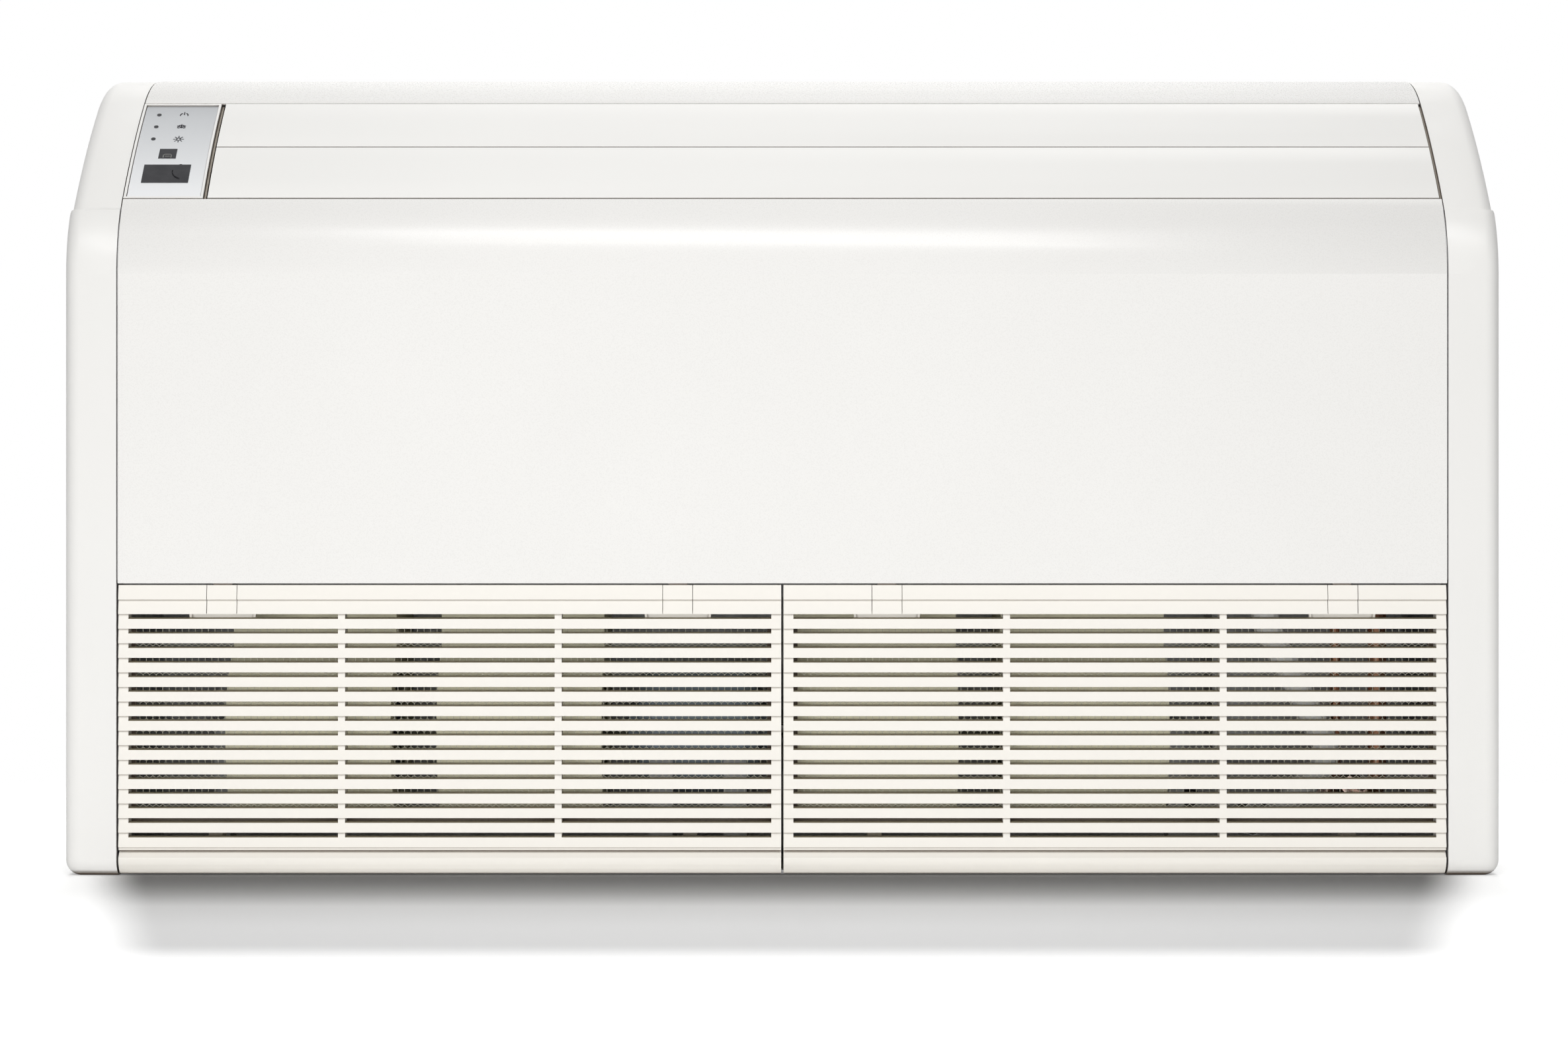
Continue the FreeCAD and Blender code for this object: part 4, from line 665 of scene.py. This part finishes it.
# The floor's painted shadow: where it fades in front of the unit, at its sides and behind its front

SHADE_GREY = (0.24, 0.24, 0.24)
SHADE_DARK = (0.0, 0.31)
SHADE_PALE = (0.46, 0.58)
PALE_SHARE = 0.19
SHADE_SIDE = (0.07, 0.01)
SHADE_TAPER = 0.22
SHADE_BACK = 0.06

# A dark card of painted shade behind the unit: its colour and its gap from the back
SHADE_CARD_DIM = (0.03, 0.028, 0.025)
SHADE_CARD_GAP = 0.002


def room_world():
    """White wherever it is seen straight or mirrored, and an even fill as light."""
    world = bpy.data.worlds.new("room")
    world.use_nodes = True
    tree = world.node_tree
    tree.nodes.clear()
    shown = tree.nodes.new("ShaderNodeBackground")
    shown.inputs["Color"].default_value = (*PURE_WHITE, 1)
    fill = tree.nodes.new("ShaderNodeBackground")
    fill.inputs["Color"].default_value = (*PURE_WHITE, 1)
    fill.inputs["Strength"].default_value = FILL
    path = tree.nodes.new("ShaderNodeLightPath")
    share = path.outputs["Is Camera Ray"]
    for kind in ("Is Glossy Ray", "Is Transmission Ray"):
        share = link_math(tree, "MAXIMUM", share, path.outputs[kind])
    mix = tree.nodes.new("ShaderNodeMixShader")
    tree.links.new(share, mix.inputs["Fac"])
    tree.links.new(fill.outputs["Background"], mix.inputs[1])
    tree.links.new(shown.outputs["Background"], mix.inputs[2])
    output = tree.nodes.new("ShaderNodeOutputWorld")
    tree.links.new(mix.outputs["Shader"], output.inputs["Surface"])
    bpy.context.scene.world = world


def link_floor_shade(tree, place, seen):
    """Two shares of painted shadow in front of the unit: a dark one close to it, and a dim one further
    out.
    """
    ahead = link_math(tree, "SUBTRACT", cad_low.y - FLOOR_MIDDLE, link_axis(tree, place, "Y"))
    beside = link_math(tree, "ABSOLUTE", link_axis(tree, place, "X"), 0.0)
    taper = link_math(tree, "MULTIPLY", ahead, SHADE_TAPER)
    sides = [cad_high.x - inset for inset in SHADE_SIDE]
    across = link_fade(tree, link_math(tree, "ADD", beside, taper), *sides)
    in_front = link_math(tree, "MULTIPLY", across, link_fade(tree, ahead, 0.0, -SHADE_BACK))
    shown = link_math(tree, "MULTIPLY", in_front, seen)
    dark = link_math(tree, "MULTIPLY", shown, link_fade(tree, ahead, *SHADE_DARK))
    dim = link_math(tree, "MULTIPLY", shown, link_fade(tree, ahead, *SHADE_PALE))
    return dark, dim


def floor_material():
    """White floor with a soft painted shadow in front of the unit, where its glow to the camera is held
    back; further off it fades into the white world.
    """
    material, tree, shader = new_material("floor_white")
    shader.inputs["Roughness"].default_value = 1.0
    shader.inputs["Specular IOR Level"].default_value = 0.0
    shader.inputs["Emission Color"].default_value = (*PURE_WHITE, 1)
    seen = tree.nodes.new("ShaderNodeLightPath").outputs["Is Camera Ray"]
    place = link_place(tree)
    dark, dim = link_floor_shade(tree, place, seen)
    shade = link_math(tree, "MAXIMUM", dark, link_math(tree, "MULTIPLY", dim, PALE_SHARE))
    finish = link_ramp(tree, shade, FLOOR_WHITE, SHADE_GREY, 0.0, 1.0)
    tree.links.new(finish, shader.inputs["Base Color"])
    # The floor's glow to the camera is held back where the painted shadow lies
    lift = link_math(tree, "MULTIPLY", link_math(tree, "SUBTRACT", seen, dim), FLOOR_LIFT)
    tree.links.new(lift, shader.inputs["Emission Strength"])
    reach = tree.nodes.new("ShaderNodeVectorMath")
    reach.operation = "LENGTH"
    tree.links.new(place, reach.inputs[0])
    edge = link_fade(tree, reach.outputs["Value"], FLOOR_NEAR, FLOOR_FAR)
    tree.links.new(edge, shader.inputs["Alpha"])
    return material


def new_sheet(name, corners, material):
    """A flat sheet with four corners."""
    mesh = bpy.data.meshes.new(name)
    mesh.from_pydata(corners, [], [(0, 1, 2, 3)])
    mesh.materials.append(material)
    sheet = bpy.data.objects.new(name, mesh)
    bpy.context.scene.collection.objects.link(sheet)
    return sheet


def add_floor():
    """The floor under the unit."""
    quarters = ((-1, -1), (1, -1), (1, 1), (-1, 1))
    corners = [(FLOOR_FAR * x, FLOOR_FAR * y, 0) for x, y in quarters]
    floor = new_sheet("floor", corners, floor_material())
    floor.location.y = FLOOR_MIDDLE


def shade_card_material():
    """A dark card of painted shade that only shows to the camera from in front, through the holes for the
    pipes.
    """
    material, tree, shader = new_material("painted_shade_card")
    shader.inputs["Base Color"].default_value = (*SHADE_CARD_DIM, 1)
    shader.inputs["Specular IOR Level"].default_value = 0.0
    seen = tree.nodes.new("ShaderNodeLightPath").outputs["Is Camera Ray"]
    behind = tree.nodes.new("ShaderNodeNewGeometry").outputs["Backfacing"]
    shown = link_math(tree, "MULTIPLY", seen, link_math(tree, "SUBTRACT", 1.0, behind))
    tree.links.new(shown, shader.inputs["Alpha"])
    return material


def add_shade_card():
    """A dark card of painted shade close behind the unit, no larger than its back."""
    low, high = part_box("back_panel")
    y = high.y + SHADE_CARD_GAP
    corners = [(low.x, y, low.z), (high.x, y, low.z), (high.x, y, high.z), (low.x, y, high.z)]
    shade_card = new_sheet("shade_card", corners, shade_card_material())


def add_lamp(name, place, aim, size, watts, mirrored=False):
    """A large soft lamp that points at a place and leaves a gleam only where it is to be mirrored."""
    data = bpy.data.lights.new(name, "AREA")
    data.shape = "RECTANGLE"
    data.size, data.size_y = size
    data.energy = watts
    lamp = bpy.data.objects.new(name, data)
    lamp.location = place
    lamp.rotation_euler = (Vector(aim) - Vector(place)).to_track_quat("-Z", "Y").to_euler()
    lamp.visible_glossy = mirrored
    bpy.context.scene.collection.objects.link(lamp)


def add_lamps():
    """Two lamps above and behind the unit, two in front, and a strip whose gleam runs along the bend."""
    middle = (0.0, 0.0, 0.3)
    add_lamp("overhead", place=(0.0, 1.5, 4.2), aim=middle, size=(3.6, 1.4), watts=70.0)
    add_lamp("behind", place=(0.0, 3.2, 3.4), aim=middle, size=(3.4, 0.7), watts=88.0)
    front = (-0.45, -3.6, CAMERA_HEIGHT)
    add_lamp("front", place=front, aim=(0.0, 0.0, CAMERA_HEIGHT), size=(2.8, 0.2), watts=54.0)
    add_lamp("high_front", place=(0.3, -2.6, 2.4), aim=(0.0, 0.0, 0.6), size=(3.0, 0.6), watts=7.0)
    strip = (0.0, -2.6, 2.5)
    add_lamp("strip", place=strip, aim=(0.0, 0.0, 0.5), size=(3.0, 0.25), watts=38.0, mirrored=True)


room_world()
add_floor()
add_shade_card()
add_lamps()
add_camera()

scene = bpy.context.scene
scene.view_settings.view_transform = "Standard"
